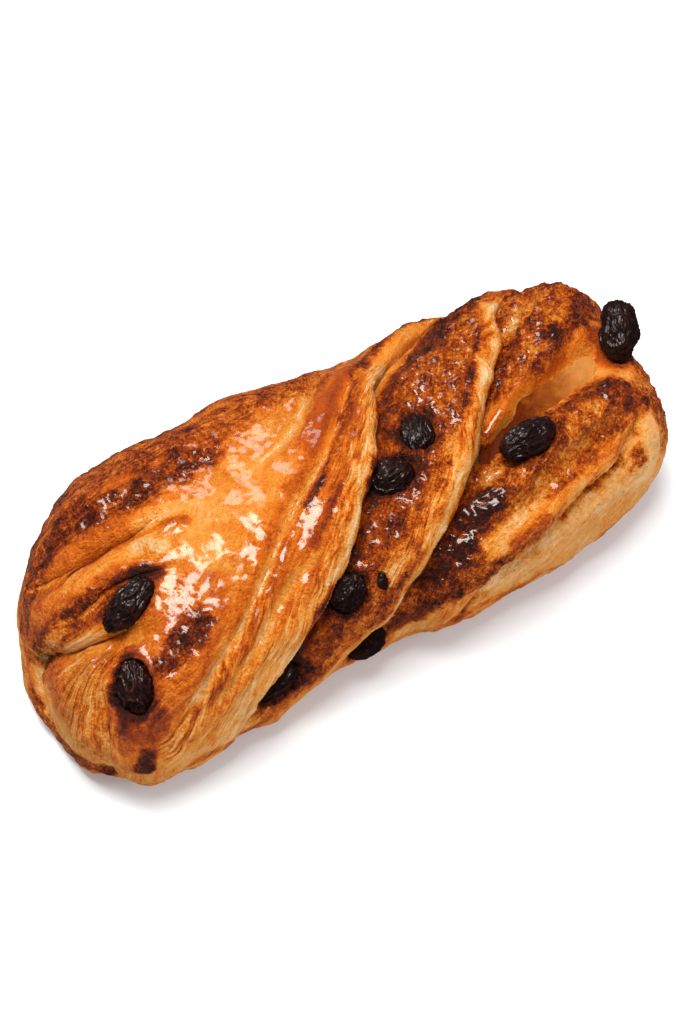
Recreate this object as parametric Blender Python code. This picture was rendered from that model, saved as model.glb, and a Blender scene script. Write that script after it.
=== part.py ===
# Raisin twist: one body of laminated dough, folded and twisted, with raisins baked into its folds.
# Places on the loaf are (mm along from the middle, degrees round from the top towards the front).
import math

import bmesh
import bpy
import numpy as np
from mathutils import Matrix, Vector, noise

MM = 0.001

# Driving sizes in mm
LENGTH = 164.0
WIDTH = 70.0
HEIGHT = 44.0
RAISIN = 12.5
RAISIN_FLATNESS = 0.88
GAP = 0.5

# The smooth loaf under the folds: (share of the half length, share of the driving size)
HALF_WIDTH_AT = [(-0.98, 0.87), (-0.61, 1.04), (-0.24, 1.0), (0.18, 1.0), (0.61, 0.99), (0.98, 0.99)]
HEIGHT_AT = [(-0.98, 0.89), (-0.61, 1.0), (0.98, 1.0)]
SWAY_AT = [(-0.98, -0.18), (-0.61, 0.01), (-0.24, 0.06), (0.18, -0.08), (0.61, -0.06), (0.98, -0.01)]
END_BLUNTNESS = 4.5
END_RISE = 0.35
BELLY_SHARE = 0.42
BELLY_DEPTH = 1.15
ROUNDNESS_ABOVE = 2.3
ROUNDNESS_BELOW = 3.0

# Strips that lie over the next one: the path of the edge, the width and drop of its rounded face,
# and how far the lower strip takes to swell up again. Values in a tuple are spread along the path.
LEDGES = {
    "left strip over middle strip": dict(
        path=[(66, -96), (56, -76), (45, -59), (30, -42), (18, -25), (10, -4), (2, 15), (-5, 28),
              (-10, 39), (-17, 51), (-24, 61), (-31, 73), (-39, 86), (-46, 99), (-50, 112)],
        face=(5, 5, 4, 4, 5, 8, 11), drop=(0, 3, 5, 6, 6, 6.5, 6, 3), run=13),
    "middle strip over right strip": dict(
        path=[(78, -86), (70, -60), (57, -37), (48, -12), (38, 3), (26, 24), (13, 42), (5, 55),
              (-2, 69), (-9, 88), (-20, 106), (-34, 122)],
        face=(5, 5, 4, 4, 5, 5, 5), drop=(0, 3, 5, 5.5, 8, 8.5, 7.5, 4, 1), run=15),
    "lower fold of the right strip": dict(
        path=[(70, 44), (64, 52), (57, 58), (48, 61), (40, 65), (33, 70), (26, 76), (18, 83), (11, 92),
              (8, 108)],
        face=(3.5, 4, 4, 4, 4), drop=(0, 4, 4.4, 4.4, 4, 3, 1), run=8),
    "back strip over its flap": dict(
        path=[(-40, -6), (-47, -8), (-54, -14), (-61, -21), (-68, -31), (-74, -46)],
        face=(3, 3, 3), drop=(0, 1.5, 3, 3, 0), run=6),
    "flap over the end fold": dict(
        path=[(-46, 14), (-50, 9), (-56, 3), (-63, -1), (-70, -5), (-76, -16)],
        face=(2.5, 2.5, 2.5), drop=(0, 1.6, 2.2, 1.6, 0.8, 0), run=5),
    "flap over the end lobe": dict(
        path=[(-58, 20), (-62, 17), (-67, 12), (-72, 5), (-77, -6), (-80, -24), (-82, -60)],
        face=(3, 4, 4), drop=(0, 4.5, 5, 4.5, 4, 3.5, 0), run=7),
    "front corner over the end": dict(
        path=[(-79, 112), (-78, 88), (-77, 60), (-75, 41), (-72, 28), (-66, 22), (-60, 26)],
        face=(3, 4, 3), drop=(0, 2.2, 2.8, 2.2, 0), run=8),
    "first strip on the back": dict(
        path=[(8, -116), (-2, -96), (-12, -80), (-26, -66), (-40, -56)],
        face=(5, 5, 4), drop=(0, 3.5, 4, 3, 0), run=12),
    "second strip on the back": dict(
        path=[(-34, -118), (-44, -100), (-54, -84), (-66, -72)],
        face=(4, 5, 4), drop=(0, 3, 3.5, 0), run=11),
    "outer turn of the right end": dict(
        path=[(70, -112), (78, -84), (81, -56), (81, -30), (80, -14)],
        face=(3, 4, 4), drop=(0, 3, 3, 2.5, 0), run=8),
}

# Hollows between strips: path, depth and half width
GROOVES = {
    "between the right rolls": dict(
        path=[(73, 11), (66, 13), (56, 15), (47, 18), (38, 23), (31, 27), (24, 28)],
        depth=(0, 5, 7.5, 7.5, 7.5, 7, 6, 4, 0), half=(5, 7.5, 8, 7.5, 6.5, 5.5, 4.5, 3.5)),
    "valley of the lower roll": dict(
        path=[(72, 46), (62, 46), (52, 47), (44, 49), (34, 52), (24, 56), (14, 61)],
        depth=(0, 1.8, 2.5, 2.5, 2.2, 1.6, 0), half=(5, 5.5, 5)),
    "under the left strip": dict(
        path=[(-16, 54), (-22, 62), (-27, 70), (-31, 74)], depth=(0, 3.5, 3.5, 0), half=(3, 4, 3)),
    "round the low raisin": dict(
        path=[(-31, 74), (-36, 80), (-42, 84), (-47, 86)], depth=(0, 4, 4, 0), half=(3, 5, 3)),
}

# Fine folds: path, depth (below zero for a ridge) and half width
CREASES = {
    "fold along the lip": dict(
        path=[(31, -57), (21, -37), (11, -25), (4, -12), (-4, 1), (-11, 11), (-20, 21), (-28, 30),
              (-36, 39), (-45, 47), (-56, 56), (-66, 66)],
        depth=(0, 1.6, 1.8, 1.6, 1.5, 1.4, 1.1, 0), half=(1.2,)),
    "swell beside the lip": dict(
        path=[(33, -50), (24, -36), (15, -21), (8, -5), (0, 10), (-8, 22), (-16, 32), (-26, 40)],
        depth=(0, -0.9, -1, -0.8, 0), half=(3.2,)),
    "second fold of the fan": dict(
        path=[(-18, 38), (-27, 42), (-36, 50), (-44, 58), (-52, 66), (-62, 74)],
        depth=(0, 1.4, 1.7, 1.5, 0), half=(1.6,)),
    "third fold of the fan": dict(
        path=[(-42, 38), (-49, 48), (-57, 60), (-62, 70), (-66, 78)], depth=(0, 1.3, 1.3, 0), half=(1.5,)),
    "fourth fold of the fan": dict(
        path=[(-34, 58), (-42, 68), (-50, 78), (-56, 90)], depth=(0, 1.5, 1.4, 0), half=(1.8,)),
    "gap under the upper roll": dict(
        path=[(44, 36), (38, 35), (33, 34.5), (28, 35.5), (22, 38)], depth=(0, 3.2, 4, 3.4, 0), half=(1.7,)),
    "fold on the dome": dict(
        path=[(19, -62), (13, -50), (0, -25), (-8, -12), (-16, -5), (-24, -2)],
        depth=(0, 1.0, 1.2, 1.0, 0), half=(1.7,)),
    "dark ridge at the back": dict(
        path=[(-12, -34), (-28, -30), (-42, -29), (-52, -33), (-62, -42), (-70, -52)],
        depth=(0, -1, -1.3, -1.2, 0), half=(5.5,)),
    "slit over the flap": dict(
        path=[(-47, -8), (-54, -14), (-61, -21), (-67, -29)], depth=(0, 2.2, 2.2, 0), half=(1.1,)),
    "notch in the end": dict(
        path=[(-79, -16), (-81, -36), (-82, -70)], depth=(0, 3, 2, 0), half=(2.4,)),
    "ridge of the lower fold": dict(
        path=[(66, 44), (58, 51), (48, 55), (38, 58), (30, 63), (20, 70), (12, 80)],
        depth=(0, -1.8, -2, -1.6, 0), half=(2.8,)),
    "turn in the upper roll": dict(
        path=[(72, -44), (60, -26), (52, -16), (46, -6)], depth=(0, 1.8, 2, 0), half=(2.4,)),
    "seam low in the front": dict(
        path=[(14, 92), (9, 104), (7, 120)], depth=(0, 2, 1.5), half=(1.5,)),
    "seam low in the end": dict(
        path=[(-80, 96), (-79, 110), (-76, 126)], depth=(0, 2, 2), half=(1.8,)),
}

# Swells and hollows: place, half sizes along and around in mm, height, turn of the long side
LUMPS = {
    "dome": dict(at=(-36, 10), size=(26, 16), height=1.2, lean=-30),
    "middle strip": dict(at=(26, -12), size=(18, 8), height=1.0, lean=-58),
    "middle strip low": dict(at=(-2, 44), size=(16, 7), height=1.0, lean=-50),
    "lower roll end": dict(at=(66, 38), size=(12, 8), height=1.4, lean=-10),
    "upper roll": dict(at=(62, -14), size=(12, 8), height=1.2, lean=-40),
    "end of the upper roll": dict(at=(72, -26), size=(14, 10), height=3.5, lean=0),
    "flap": dict(at=(-60, -2), size=(12, 6), height=1.2, lean=-25),
    "end lobe": dict(at=(-80, 10), size=(7, 8), height=1.4, lean=0),
    "raisin under the crust": dict(at=(-71, 80), size=(4.5, 5), height=1.2, lean=0),
    "bump under the glaze": dict(at=(-68, 36), size=(5, 7), height=1.0, lean=60),
    "left of the seam": dict(at=(16, 104), size=(12, 8), height=-1.5, lean=0),
    "end tucked in": dict(at=(-81, -40), size=(9, 12), height=-2.6, lean=0),
    "low corner": dict(at=(-80, 112), size=(8, 10), height=-2.0, lean=0),
    "waist at the back": dict(at=(6, -66), size=(12, 10), height=-1.2, lean=0),
    "shoulder at the left": dict(at=(-52, -60), size=(14, 13), height=1.5, lean=0),
    "back of the dome": dict(at=(-5, -54), size=(15, 9), height=1.1, lean=0),
    "side under the middle strip": dict(at=(24, 112), size=(7, 9), height=-1.2, lean=0),
    "side under the left strip": dict(at=(-3, 108), size=(6, 8), height=-1.5, lean=0),
    "foot of the front corner": dict(at=(-71, 120), size=(5, 8), height=1.2, lean=0),
    "foot of the upper roll": dict(at=(40, 16.5), size=(5, 4), height=1.2, lean=0),
}

# Raisins: place, length and thickness as shares of a raisin, lean of the long side in the surface,
# its rise out of the surface, and how deep it sits
RAISINS = {
    "raisin_right_end": dict(at=(73.2, 10.5), size=(1.32, 0.85), lean=73, rise=34, sink=-3.2),
    "raisin_right_groove": dict(at=(38.5, 30.5), size=(1.28, 0.78), lean=-2, sink=0.4),
    "raisin_middle_upper": dict(at=(17, 6.5), size=(0.92, 0.7), lean=62, sink=2.2),
    "raisin_middle_lower": dict(at=(6.5, 18.5), size=(0.98, 0.78), lean=10, sink=2.4),
    "raisin_under_lip": dict(at=(-15.8, 60.5), size=(0.82, 0.72), lean=40, sink=0.7),
    "raisin_small": dict(at=(-8.3, 59.5), size=(0.38, 0.24), lean=84, sink=0.5),
    "raisin_front_base": dict(at=(-13, 109), size=(0.92, 0.64), lean=40, sink=0.4),
    "raisin_front_hollow": dict(at=(-36, 93), size=(1.06, 0.56), lean=20, sink=1.0),
    "raisin_left_fold": dict(at=(-60, 11), size=(1.3, 0.66), lean=16, sink=0.7),
    "raisin_left_glazed": dict(at=(-68, 39), size=(1.06, 0.7), lean=70, sink=2.7),
    "raisin_back_fold": dict(at=(-2, -84), size=(0.9, 0.62), lean=-40, sink=0.8),
    "raisin_back_low": dict(at=(46, -92), size=(0.88, 0.64), lean=20, sink=1.2),
    "raisin_end_fold": dict(at=(80.5, -60), size=(0.9, 0.6), lean=40, sink=1.0),
}

# Pastry cream that shows in the hollow between the right rolls
CUSTARD = dict(path=[(29, 27), (38, 23), (47, 18), (56, 15), (62, 13.5), (68, 12)],
               half_width=(3.8, 4.2, 4.6, 4.6, 3.8), half_height=2.4, lift=0.2)

# Rows of points along and round the loaf, wider apart on the underside, and the triangles kept of them
ROWS = 220
AROUND = 150
UNDERSIDE = 115.0
UNDERSIDE_ON_THE_BALL = 145.0
TRIANGLES = 8000
TRACK_STEP = 2.0
LUMP_NOISE = dict(scale=13.0, height=0.8)
WRINKLE_NOISE = dict(scale=2.6, height=0.16)

CRUST = dict(colour=(0.48, 0.17, 0.035, 1), roughness=0.35, coat=0.6)
DRIED_FRUIT = dict(colour=(0.018, 0.007, 0.006, 1), roughness=0.4, coat=0.2)
CREAM = dict(colour=(0.72, 0.45, 0.16, 1), roughness=0.3, coat=0.4)


def smooth(value):
    t = np.clip(value, 0, 1)
    return t * t * (3 - 2 * t)


# A smooth curve through a few (place, value) pairs
def curve_through(x, pairs):
    xs, ys = np.array(pairs, float).T
    x = np.clip(x, xs[0], xs[-1])
    k = np.clip(np.searchsorted(xs, x, side="right") - 1, 0, len(xs) - 2)
    slope = np.gradient(ys, xs)
    step = xs[k + 1] - xs[k]
    t = (x - xs[k]) / step
    start = (1 + 2 * t) * (1 - t) ** 2 * ys[k] + t * (1 - t) ** 2 * step * slope[k]
    end = t * t * (3 - 2 * t) * ys[k + 1] + t * t * (t - 1) * step * slope[k + 1]
    return start + end


# Points in mm on the smooth loaf
def loaf(along, turn):
    share = np.asarray(along, float) / (LENGTH / 2)
    angle = np.radians(turn)
    half = WIDTH / 2 * curve_through(share, HALF_WIDTH_AT)
    height = HEIGHT * curve_through(share, HEIGHT_AT)
    sway = WIDTH / 2 * curve_through(share, SWAY_AT)
    ending = np.clip(1 - np.abs(share) ** END_BLUNTNESS, 0, 1) ** (1 / END_BLUNTNESS)
    side, rise = -np.sin(angle), np.cos(angle)
    power = np.where(rise > 0, ROUNDNESS_ABOVE, ROUNDNESS_BELOW)
    reach = (np.abs(side) ** power + np.abs(rise) ** power) ** (-1 / power)
    belly = BELLY_SHARE * height
    y = sway + half * ending * side * reach
    lift = np.where(rise > 0, height - belly, BELLY_DEPTH * belly) * ending * rise * reach
    z = belly * (END_RISE + (1 - END_RISE) * ending) + lift
    return np.stack([np.broadcast_to(along, y.shape), y, np.maximum(z, 0)], -1)


def loaf_normal(along, turn):
    step = 0.5
    forward = loaf(along + step, turn) - loaf(along - step, turn)
    round_it = loaf(along, turn + step) - loaf(along, turn - step)
    normal = np.cross(round_it, forward)
    return normal / np.linalg.norm(normal, axis=-1, keepdims=True)


# The path on the loaf as points about 2 mm apart
def track(path):
    knots = np.array(path, float)
    order = np.arange(len(knots))
    fine = np.linspace(0, len(knots) - 1, 8 * len(knots))
    along, turn = (curve_through(fine, list(zip(order, knots[:, k]))) for k in (0, 1))
    points = loaf(along, turn)
    run = np.concatenate([[0], np.cumsum(np.linalg.norm(np.diff(points, axis=0), axis=1))])
    even = np.linspace(0, run[-1], max(4, int(run[-1] / TRACK_STEP)))
    return np.stack([np.interp(even, run, points[:, k]) for k in range(3)], -1)


# Distance of each point from a path, below zero on the side of the upper strip,
# the share of the path passed, and the direction across it
def measure(points, normals, path):
    line = track(path)
    heading = np.gradient(line, axis=0)
    heading /= np.linalg.norm(heading, axis=1, keepdims=True)
    nearest = np.full(len(points), 1e9)
    share = np.zeros(len(points))
    offset = np.zeros_like(points)
    along = np.zeros_like(points)
    for k in range(len(line) - 1):
        piece = line[k + 1] - line[k]
        t = np.clip((points - line[k]) @ piece / (piece @ piece), 0, 1)
        gap = points - line[k] - t[:, None] * piece
        distance = np.linalg.norm(gap, axis=1)
        closer = distance < nearest
        nearest[closer] = distance[closer]
        share[closer] = (k + t[closer]) / (len(line) - 1)
        offset[closer] = gap[closer]
        along[closer] = heading[k] + t[closer, None] * (heading[k + 1] - heading[k])
    across = np.cross(normals, along)
    across /= np.linalg.norm(across, axis=1, keepdims=True) + 1e-9
    side = np.sign(np.einsum("ij,ij->i", offset, across))
    return nearest * side, share, across


def spread(values, share):
    return np.interp(share, np.linspace(0, 1, len(values)), values)


# The rounded face of an upper strip curls under its edge, and the lower strip swells up beyond
def ledge(points, normals, path, face, drop, run, rim=0.5, hang=0.6, curl=125):
    far, share, across = measure(points, normals, path)
    width, fall = spread(face, share), spread(drop, share)
    strength = smooth(fall / 2)
    turn = math.radians(curl) * np.clip(far / width + 1, 0, 1)
    under = -width + (width + hang) * np.sin(turn)
    shift = np.where(far < 0, under - np.maximum(far, -width), under * (1 - smooth(far / 5)))
    sunk = (1 - np.cos(turn)) / (1 - math.cos(math.radians(curl)))
    swell = 1 - np.sin(np.clip(far / run, 0, 1) * math.pi / 2)
    height = np.where(far < 0, -fall * sunk, -fall * swell)
    height += rim * strength * np.exp(-(((far + width) / 1.2) ** 2))
    return normals * height[:, None] + across * (shift * strength)[:, None]


def groove(points, normals, path, depth, half):
    far, share, _ = measure(points, normals, path)
    bed = 1 - smooth((np.abs(far) / spread(half, share) - 0.2) / 0.8)
    return normals * (-spread(depth, share) * bed)[:, None]


def crease(points, normals, path, depth, half):
    far, share, _ = measure(points, normals, path)
    return normals * (-spread(depth, share) * np.exp(-((far / spread(half, share)) ** 2)))[:, None]


def lump(points, normals, at, size, height, lean):
    centre = loaf(*np.array(at, float))
    along, round_it = leaning_axes(at, lean)
    gap = points - centre
    far = np.hypot(gap @ along / size[0], gap @ round_it / size[1])
    return normals * (height * np.exp(-far ** 2) * (far < 3))[:, None]


# Two directions in the surface at a place, the first one leaning from the length towards the top
def leaning_axes(at, lean):
    normal = loaf_normal(*np.array(at, float))
    along = np.array([1.0, 0, 0]) - normal[0] * normal
    along /= np.linalg.norm(along)
    upward = np.cross(normal, along)
    angle = math.radians(lean)
    long_side = along * math.cos(angle) + upward * math.sin(angle)
    return long_side, np.cross(normal, long_side)


def lump_noise(points, scale, height):
    values = [noise.noise(Vector(point) / scale) for point in points]
    return height * np.array(values)


# Move points of the smooth loaf to the folded dough
def fold(points, normals):
    moved = points + normals * lump_noise(points, **LUMP_NOISE)[:, None]
    for values in LEDGES.values():
        moved += ledge(points, normals, **values)
    for values in GROOVES.values():
        moved += groove(points, normals, **values)
    for values in CREASES.values():
        moved += crease(points, normals, **values)
    for values in LUMPS.values():
        moved += lump(points, normals, **values)
    moved[:, 2] = np.maximum(moved[:, 2], 0)
    moved[points[:, 2] <= 0, 2] = 0
    return moved


# A point of the folded dough and the way out of it
def folded_place(at):
    along, turn = (np.array([float(value)]) for value in at)
    point, normal = loaf(along, turn), loaf_normal(along, turn)
    return Vector(fold(point, normal)[0]), Vector(normal[0])


# Places for the rows of a ball's points: evenly spaced along the outline from end to end
def row_places(share):
    angle = np.linspace(0, math.pi, 2001)
    x = -LENGTH / 2 * np.sign(np.cos(angle)) * np.abs(np.cos(angle)) ** (1 / END_BLUNTNESS)
    radius = WIDTH / 2 * np.sin(angle) ** (1 / END_BLUNTNESS)
    run = np.concatenate([[0], np.cumsum(np.hypot(np.diff(x), np.diff(radius)))])
    return np.interp(share * run[-1], run, x)


def dough_mesh(rows, around):
    ball = bmesh.new()
    bmesh.ops.create_uvsphere(ball, u_segments=around, v_segments=rows, radius=1)
    unit = np.array([vertex.co[:] for vertex in ball.verts])
    share = np.arccos(np.clip(-unit[:, 2], -1, 1)) / math.pi
    angle = np.degrees(np.arctan2(unit[:, 1], unit[:, 0]))
    along = row_places(share)
    edge = UNDERSIDE_ON_THE_BALL
    turn = np.interp(angle, [-180, -edge, edge, 180], [-180, -UNDERSIDE, UNDERSIDE, 180])
    points = loaf(along, turn)
    for vertex, point in zip(ball.verts, points):
        vertex.co = point
    ball.normal_update()
    normals = np.array([vertex.normal[:] for vertex in ball.verts])
    for vertex, point in zip(ball.verts, fold(points, normals) * MM):
        vertex.co = point
    return finished_mesh("dough", ball)


# A ball drawn out along a path on the folded dough
def bar_mesh(name, path, half_width, half_height, lift, grow, rows, around):
    line = np.array(path, float)
    order = list(enumerate(line))
    ball = bmesh.new()
    bmesh.ops.create_uvsphere(ball, u_segments=around, v_segments=rows, radius=1)
    places = [folded_place(at) for at in line]
    for vertex in ball.verts:
        share = 0.5 + 0.5 * vertex.co.z
        spot = min(share * (len(order) - 1), len(order) - 1.001)
        k = int(spot)
        (point, normal), (later, later_normal) = places[k], places[k + 1]
        centre = point.lerp(later, spot - k)
        out = normal.lerp(later_normal, spot - k).normalized()
        forward = (later - point).normalized()
        side = out.cross(forward).normalized()
        wide = float(spread(half_width, share)) + grow
        girth = max(0.0, 1 - vertex.co.z ** 4) ** 0.5 / max(1e-6, math.hypot(vertex.co.x, vertex.co.y))
        centre += forward * (grow + 1) * vertex.co.z ** 5
        vertex.co = (centre + side * vertex.co.x * girth * wide
                     + out * (vertex.co.y * girth * (half_height + grow) + lift)) * MM
    return finished_mesh(name, ball)


def finished_mesh(name, shape):
    mesh = bpy.data.meshes.new(name)
    shape.to_mesh(mesh)
    shape.free()
    return mesh


# A long ball, wrinkled like dried fruit
def raisin_mesh(name, length, thickness, seed):
    ball = bmesh.new()
    bmesh.ops.create_icosphere(ball, subdivisions=2 if length > 6 else 1, radius=1)
    shift = Vector((seed * 7.3, seed * 3.1, seed * 5.7))
    radii = Vector((length, thickness, thickness * RAISIN_FLATNESS)) / 2
    for vertex in ball.verts:
        place = Vector(a * b for a, b in zip(vertex.co, radii))
        wrinkle = noise.noise(place / WRINKLE_NOISE["scale"] + shift)
        vertex.co = place * (1 - WRINKLE_NOISE["height"] * (0.5 + wrinkle)) * MM
    return finished_mesh(name, ball)


def pocket_mesh(name, length, thickness):
    ball = bmesh.new()
    bmesh.ops.create_uvsphere(ball, u_segments=12, v_segments=8, radius=1)
    radii = [size / 2 + GAP for size in (length, thickness, thickness * RAISIN_FLATNESS)]
    for vertex in ball.verts:
        x, y, z = vertex.co
        vertex.co = Vector((z * radii[0], x * radii[1], y * radii[2])) * MM
    return finished_mesh(name, ball)


def raisin_matrix(at, lean, sink, rise=0):
    point, normal = folded_place(at)
    flat, short_side = (Vector(axis) for axis in leaning_axes(at, lean))
    angle = math.radians(rise)
    long_side = flat * math.cos(angle) + normal * math.sin(angle)
    upright = normal * math.cos(angle) - flat * math.sin(angle)
    turned = Matrix((long_side, short_side, upright)).transposed().to_4x4()
    return Matrix.Translation((point - normal * sink) * MM) @ turned


def principled(name, colour, roughness, coat):
    material = bpy.data.materials.new(name)
    material.use_nodes = True
    shader = material.node_tree.nodes["Principled BSDF"]
    shader.inputs["Base Color"].default_value = colour
    shader.inputs["Roughness"].default_value = roughness
    shader.inputs["Metallic"].default_value = 0
    shader.inputs["Coat Weight"].default_value = coat
    return material


def add_object(name, mesh, collection, material=None, matrix=None):
    item = bpy.data.objects.new(name, mesh)
    collection.objects.link(item)
    if material:
        mesh.materials.append(material)
    if matrix:
        item.matrix_world = matrix
    return item


def new_collection(name):
    collection = bpy.data.collections.new(name)
    bpy.context.scene.collection.children.link(collection)
    return collection


# Fewer triangles, kept where the dough bends most
def thin_out(item, triangles):
    modifier = item.modifiers.new("fewer triangles", "DECIMATE")
    modifier.ratio = triangles / (2 * len(item.data.vertices))
    modifier.use_collapse_triangulate = True


def cut(item, cutters):
    modifier = item.modifiers.new(cutters.name, "BOOLEAN")
    modifier.operation = "DIFFERENCE"
    modifier.solver = "EXACT"
    modifier.operand_type = "COLLECTION"
    modifier.collection = cutters
    for cutter in cutters.objects:
        cutter.hide_render = True
        cutter.display_type = "WIRE"


def add_raisins(pastry, pockets):
    fruit = principled("raisin", **DRIED_FRUIT)
    for seed, (name, values) in enumerate(RAISINS.items()):
        length, thickness = (share * RAISIN for share in values["size"])
        matrix = raisin_matrix(**{key: value for key, value in values.items() if key != "size"})
        add_object(name, raisin_mesh(name, length, thickness, seed), pastry, fruit, matrix)
        add_object("pocket_of_" + name, pocket_mesh(name, length, thickness), pockets, matrix=matrix)


def add_custard(pastry, bed):
    cream = principled("custard", **CREAM)
    mesh = bar_mesh("custard", **CUSTARD, grow=0, rows=26, around=14)
    custard = add_object("custard", mesh, pastry, cream)
    add_object("bed_of_custard", bar_mesh("bed", **CUSTARD, grow=GAP, rows=26, around=14), bed)
    return custard


def main():
    for item in list(bpy.data.objects):
        bpy.data.objects.remove(item)
    pastry = new_collection("pain_aux_raisins")
    pockets = new_collection("raisin_pockets")
    bed = new_collection("custard_bed")
    dough = add_object("dough", dough_mesh(ROWS, AROUND), pastry, principled("crust", **CRUST))
    add_raisins(pastry, pockets)
    custard = add_custard(pastry, bed)
    thin_out(dough, TRIANGLES)
    cut(dough, pockets)
    cut(dough, bed)
    cut(custard, pockets)


if __name__ == "__main__":
    main()
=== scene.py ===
import math

import bmesh
import bpy
import numpy as np
from mathutils import Matrix, Quaternion, Vector, noise
from mathutils.bvhtree import BVHTree


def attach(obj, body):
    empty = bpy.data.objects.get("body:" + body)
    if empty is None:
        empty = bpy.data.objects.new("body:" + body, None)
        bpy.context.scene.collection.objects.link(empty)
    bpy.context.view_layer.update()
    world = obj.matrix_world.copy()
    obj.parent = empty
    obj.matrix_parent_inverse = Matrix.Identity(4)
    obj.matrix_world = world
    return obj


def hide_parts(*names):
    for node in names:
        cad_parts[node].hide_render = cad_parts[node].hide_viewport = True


# Raisin twist: laminated dough, folded and twisted, glazed, with raisins baked into its folds.
# Lengths are in mm until a mesh is made. Places on the loaf are (mm along from the middle,
# degrees round from the top towards the front). Brush strokes are in pixels of the photograph.
mm = 0.001

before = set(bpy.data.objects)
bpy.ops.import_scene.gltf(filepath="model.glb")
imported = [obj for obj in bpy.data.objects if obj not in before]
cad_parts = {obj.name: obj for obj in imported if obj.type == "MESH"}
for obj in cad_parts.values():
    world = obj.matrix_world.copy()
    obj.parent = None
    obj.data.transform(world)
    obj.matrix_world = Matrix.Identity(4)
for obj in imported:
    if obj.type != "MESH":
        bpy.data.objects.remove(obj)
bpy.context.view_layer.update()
print("frame loaded with", len(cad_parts), "solids")

photo = dict(width=683, height=1024)
viewpoint = dict(target=(1.0, 0.2, 18.0), azimuth=-34.0, elevation=54.0, distance=565.0,
                 lens=85.0, sensor=36.0)


def smooth(value):
    t = np.clip(value, 0, 1)
    return t * t * (3 - 2 * t)


# Noise at each point, from about -1 to 1
def grain(points, size, seed=0.0):
    shift = Vector((seed, 1.7 * seed, -seed))
    return np.array([noise.noise(Vector(point) / size + shift) for point in points.tolist()])


# Rounded bumps with sharp creases between them, from 0 to about 1
def bubbles(points, size, seed=0.0):
    shift = Vector((seed, -seed, 0.6 * seed))
    return np.array([noise.turbulence(Vector(point) / size + shift, 3, True) for point in points.tolist()])


# A smooth curve through a few (place, value) pairs
def curveThrough(x, pairs):
    xs, ys = np.array(pairs, float).T
    x = np.clip(x, xs[0], xs[-1])
    k = np.clip(np.searchsorted(xs, x, side="right") - 1, 0, len(xs) - 2)
    slope = np.gradient(ys, xs)
    step = xs[k + 1] - xs[k]
    t = (x - xs[k]) / step
    start = (1 + 2 * t) * (1 - t) ** 2 * ys[k] + t * (1 - t) ** 2 * step * slope[k]
    end = t * t * (3 - 2 * t) * ys[k + 1] + t * t * (t - 1) * step * slope[k + 1]
    return start + end


def spread(values, share):
    return np.interp(share, np.linspace(0, 1, len(values)), values)


# The smooth loaf under the folds. The lists hold (share of the half length, share of the driving
# size), and squareness is that of the upper and of the lower half of a cross section
loafShape = dict(
    length=164.0, width=70.0, height=44.0, bluntness=4.5, squareness=(2.3, 3.0), belly=0.42,
    keel=1.15, endRise=0.35,
    halfWidthAt=[(-0.98, 0.87), (-0.61, 1.04), (-0.24, 1.0), (0.18, 1.0), (0.61, 0.99), (0.98, 0.99)],
    heightAt=[(-0.98, 0.89), (-0.61, 1.0), (0.98, 1.0)],
    swayAt=[(-0.98, -0.18), (-0.61, 0.01), (-0.24, 0.06), (0.18, -0.08), (0.61, -0.06), (0.98, -0.01)])


# Points in mm on the smooth loaf
def loafPoint(along, turn):
    share = np.asarray(along, float) / (loafShape["length"] / 2)
    angle = np.radians(turn)
    half = loafShape["width"] / 2 * curveThrough(share, loafShape["halfWidthAt"])
    height = loafShape["height"] * curveThrough(share, loafShape["heightAt"])
    sway = loafShape["width"] / 2 * curveThrough(share, loafShape["swayAt"])
    ending = np.clip(1 - np.abs(share) ** loafShape["bluntness"], 0, 1) ** (1 / loafShape["bluntness"])
    side, rise = -np.sin(angle), np.cos(angle)
    power = np.where(rise > 0, *loafShape["squareness"])
    reach = (np.abs(side) ** power + np.abs(rise) ** power) ** (-1 / power)
    belly = loafShape["belly"] * height
    y = sway + half * ending * side * reach
    lift = np.where(rise > 0, height - belly, loafShape["keel"] * belly) * ending * rise * reach
    z = belly * (loafShape["endRise"] + (1 - loafShape["endRise"]) * ending) + lift
    return np.stack([np.broadcast_to(along, y.shape), y, np.maximum(z, 0)], -1)


def loafNormal(along, turn):
    step = 0.5
    forward = loafPoint(along + step, turn) - loafPoint(along - step, turn)
    roundIt = loafPoint(along, turn + step) - loafPoint(along, turn - step)
    normal = np.cross(roundIt, forward)
    return normal / np.linalg.norm(normal, axis=-1, keepdims=True)


trackStep = 2.0           # mm between the points of a line on the loaf
finePerKnot = 8           # points that its curve is first drawn with, for each point of its path
farAway = -1000.0         # the distance noted beyond the reach of a line


# The path on the loaf as evenly spaced points
def track(path):
    knots = np.array(path, float)
    order = np.arange(len(knots))
    fine = np.linspace(0, len(knots) - 1, finePerKnot * len(knots))
    along, turn = (curveThrough(fine, list(zip(order, knots[:, k]))) for k in (0, 1))
    points = loafPoint(along, turn)
    run = np.concatenate([[0], np.cumsum(np.linalg.norm(np.diff(points, axis=0), axis=1))])
    even = np.linspace(0, run[-1], max(4, int(run[-1] / trackStep)))
    return np.stack([np.interp(even, run, points[:, k]) for k in range(3)], -1)


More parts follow.
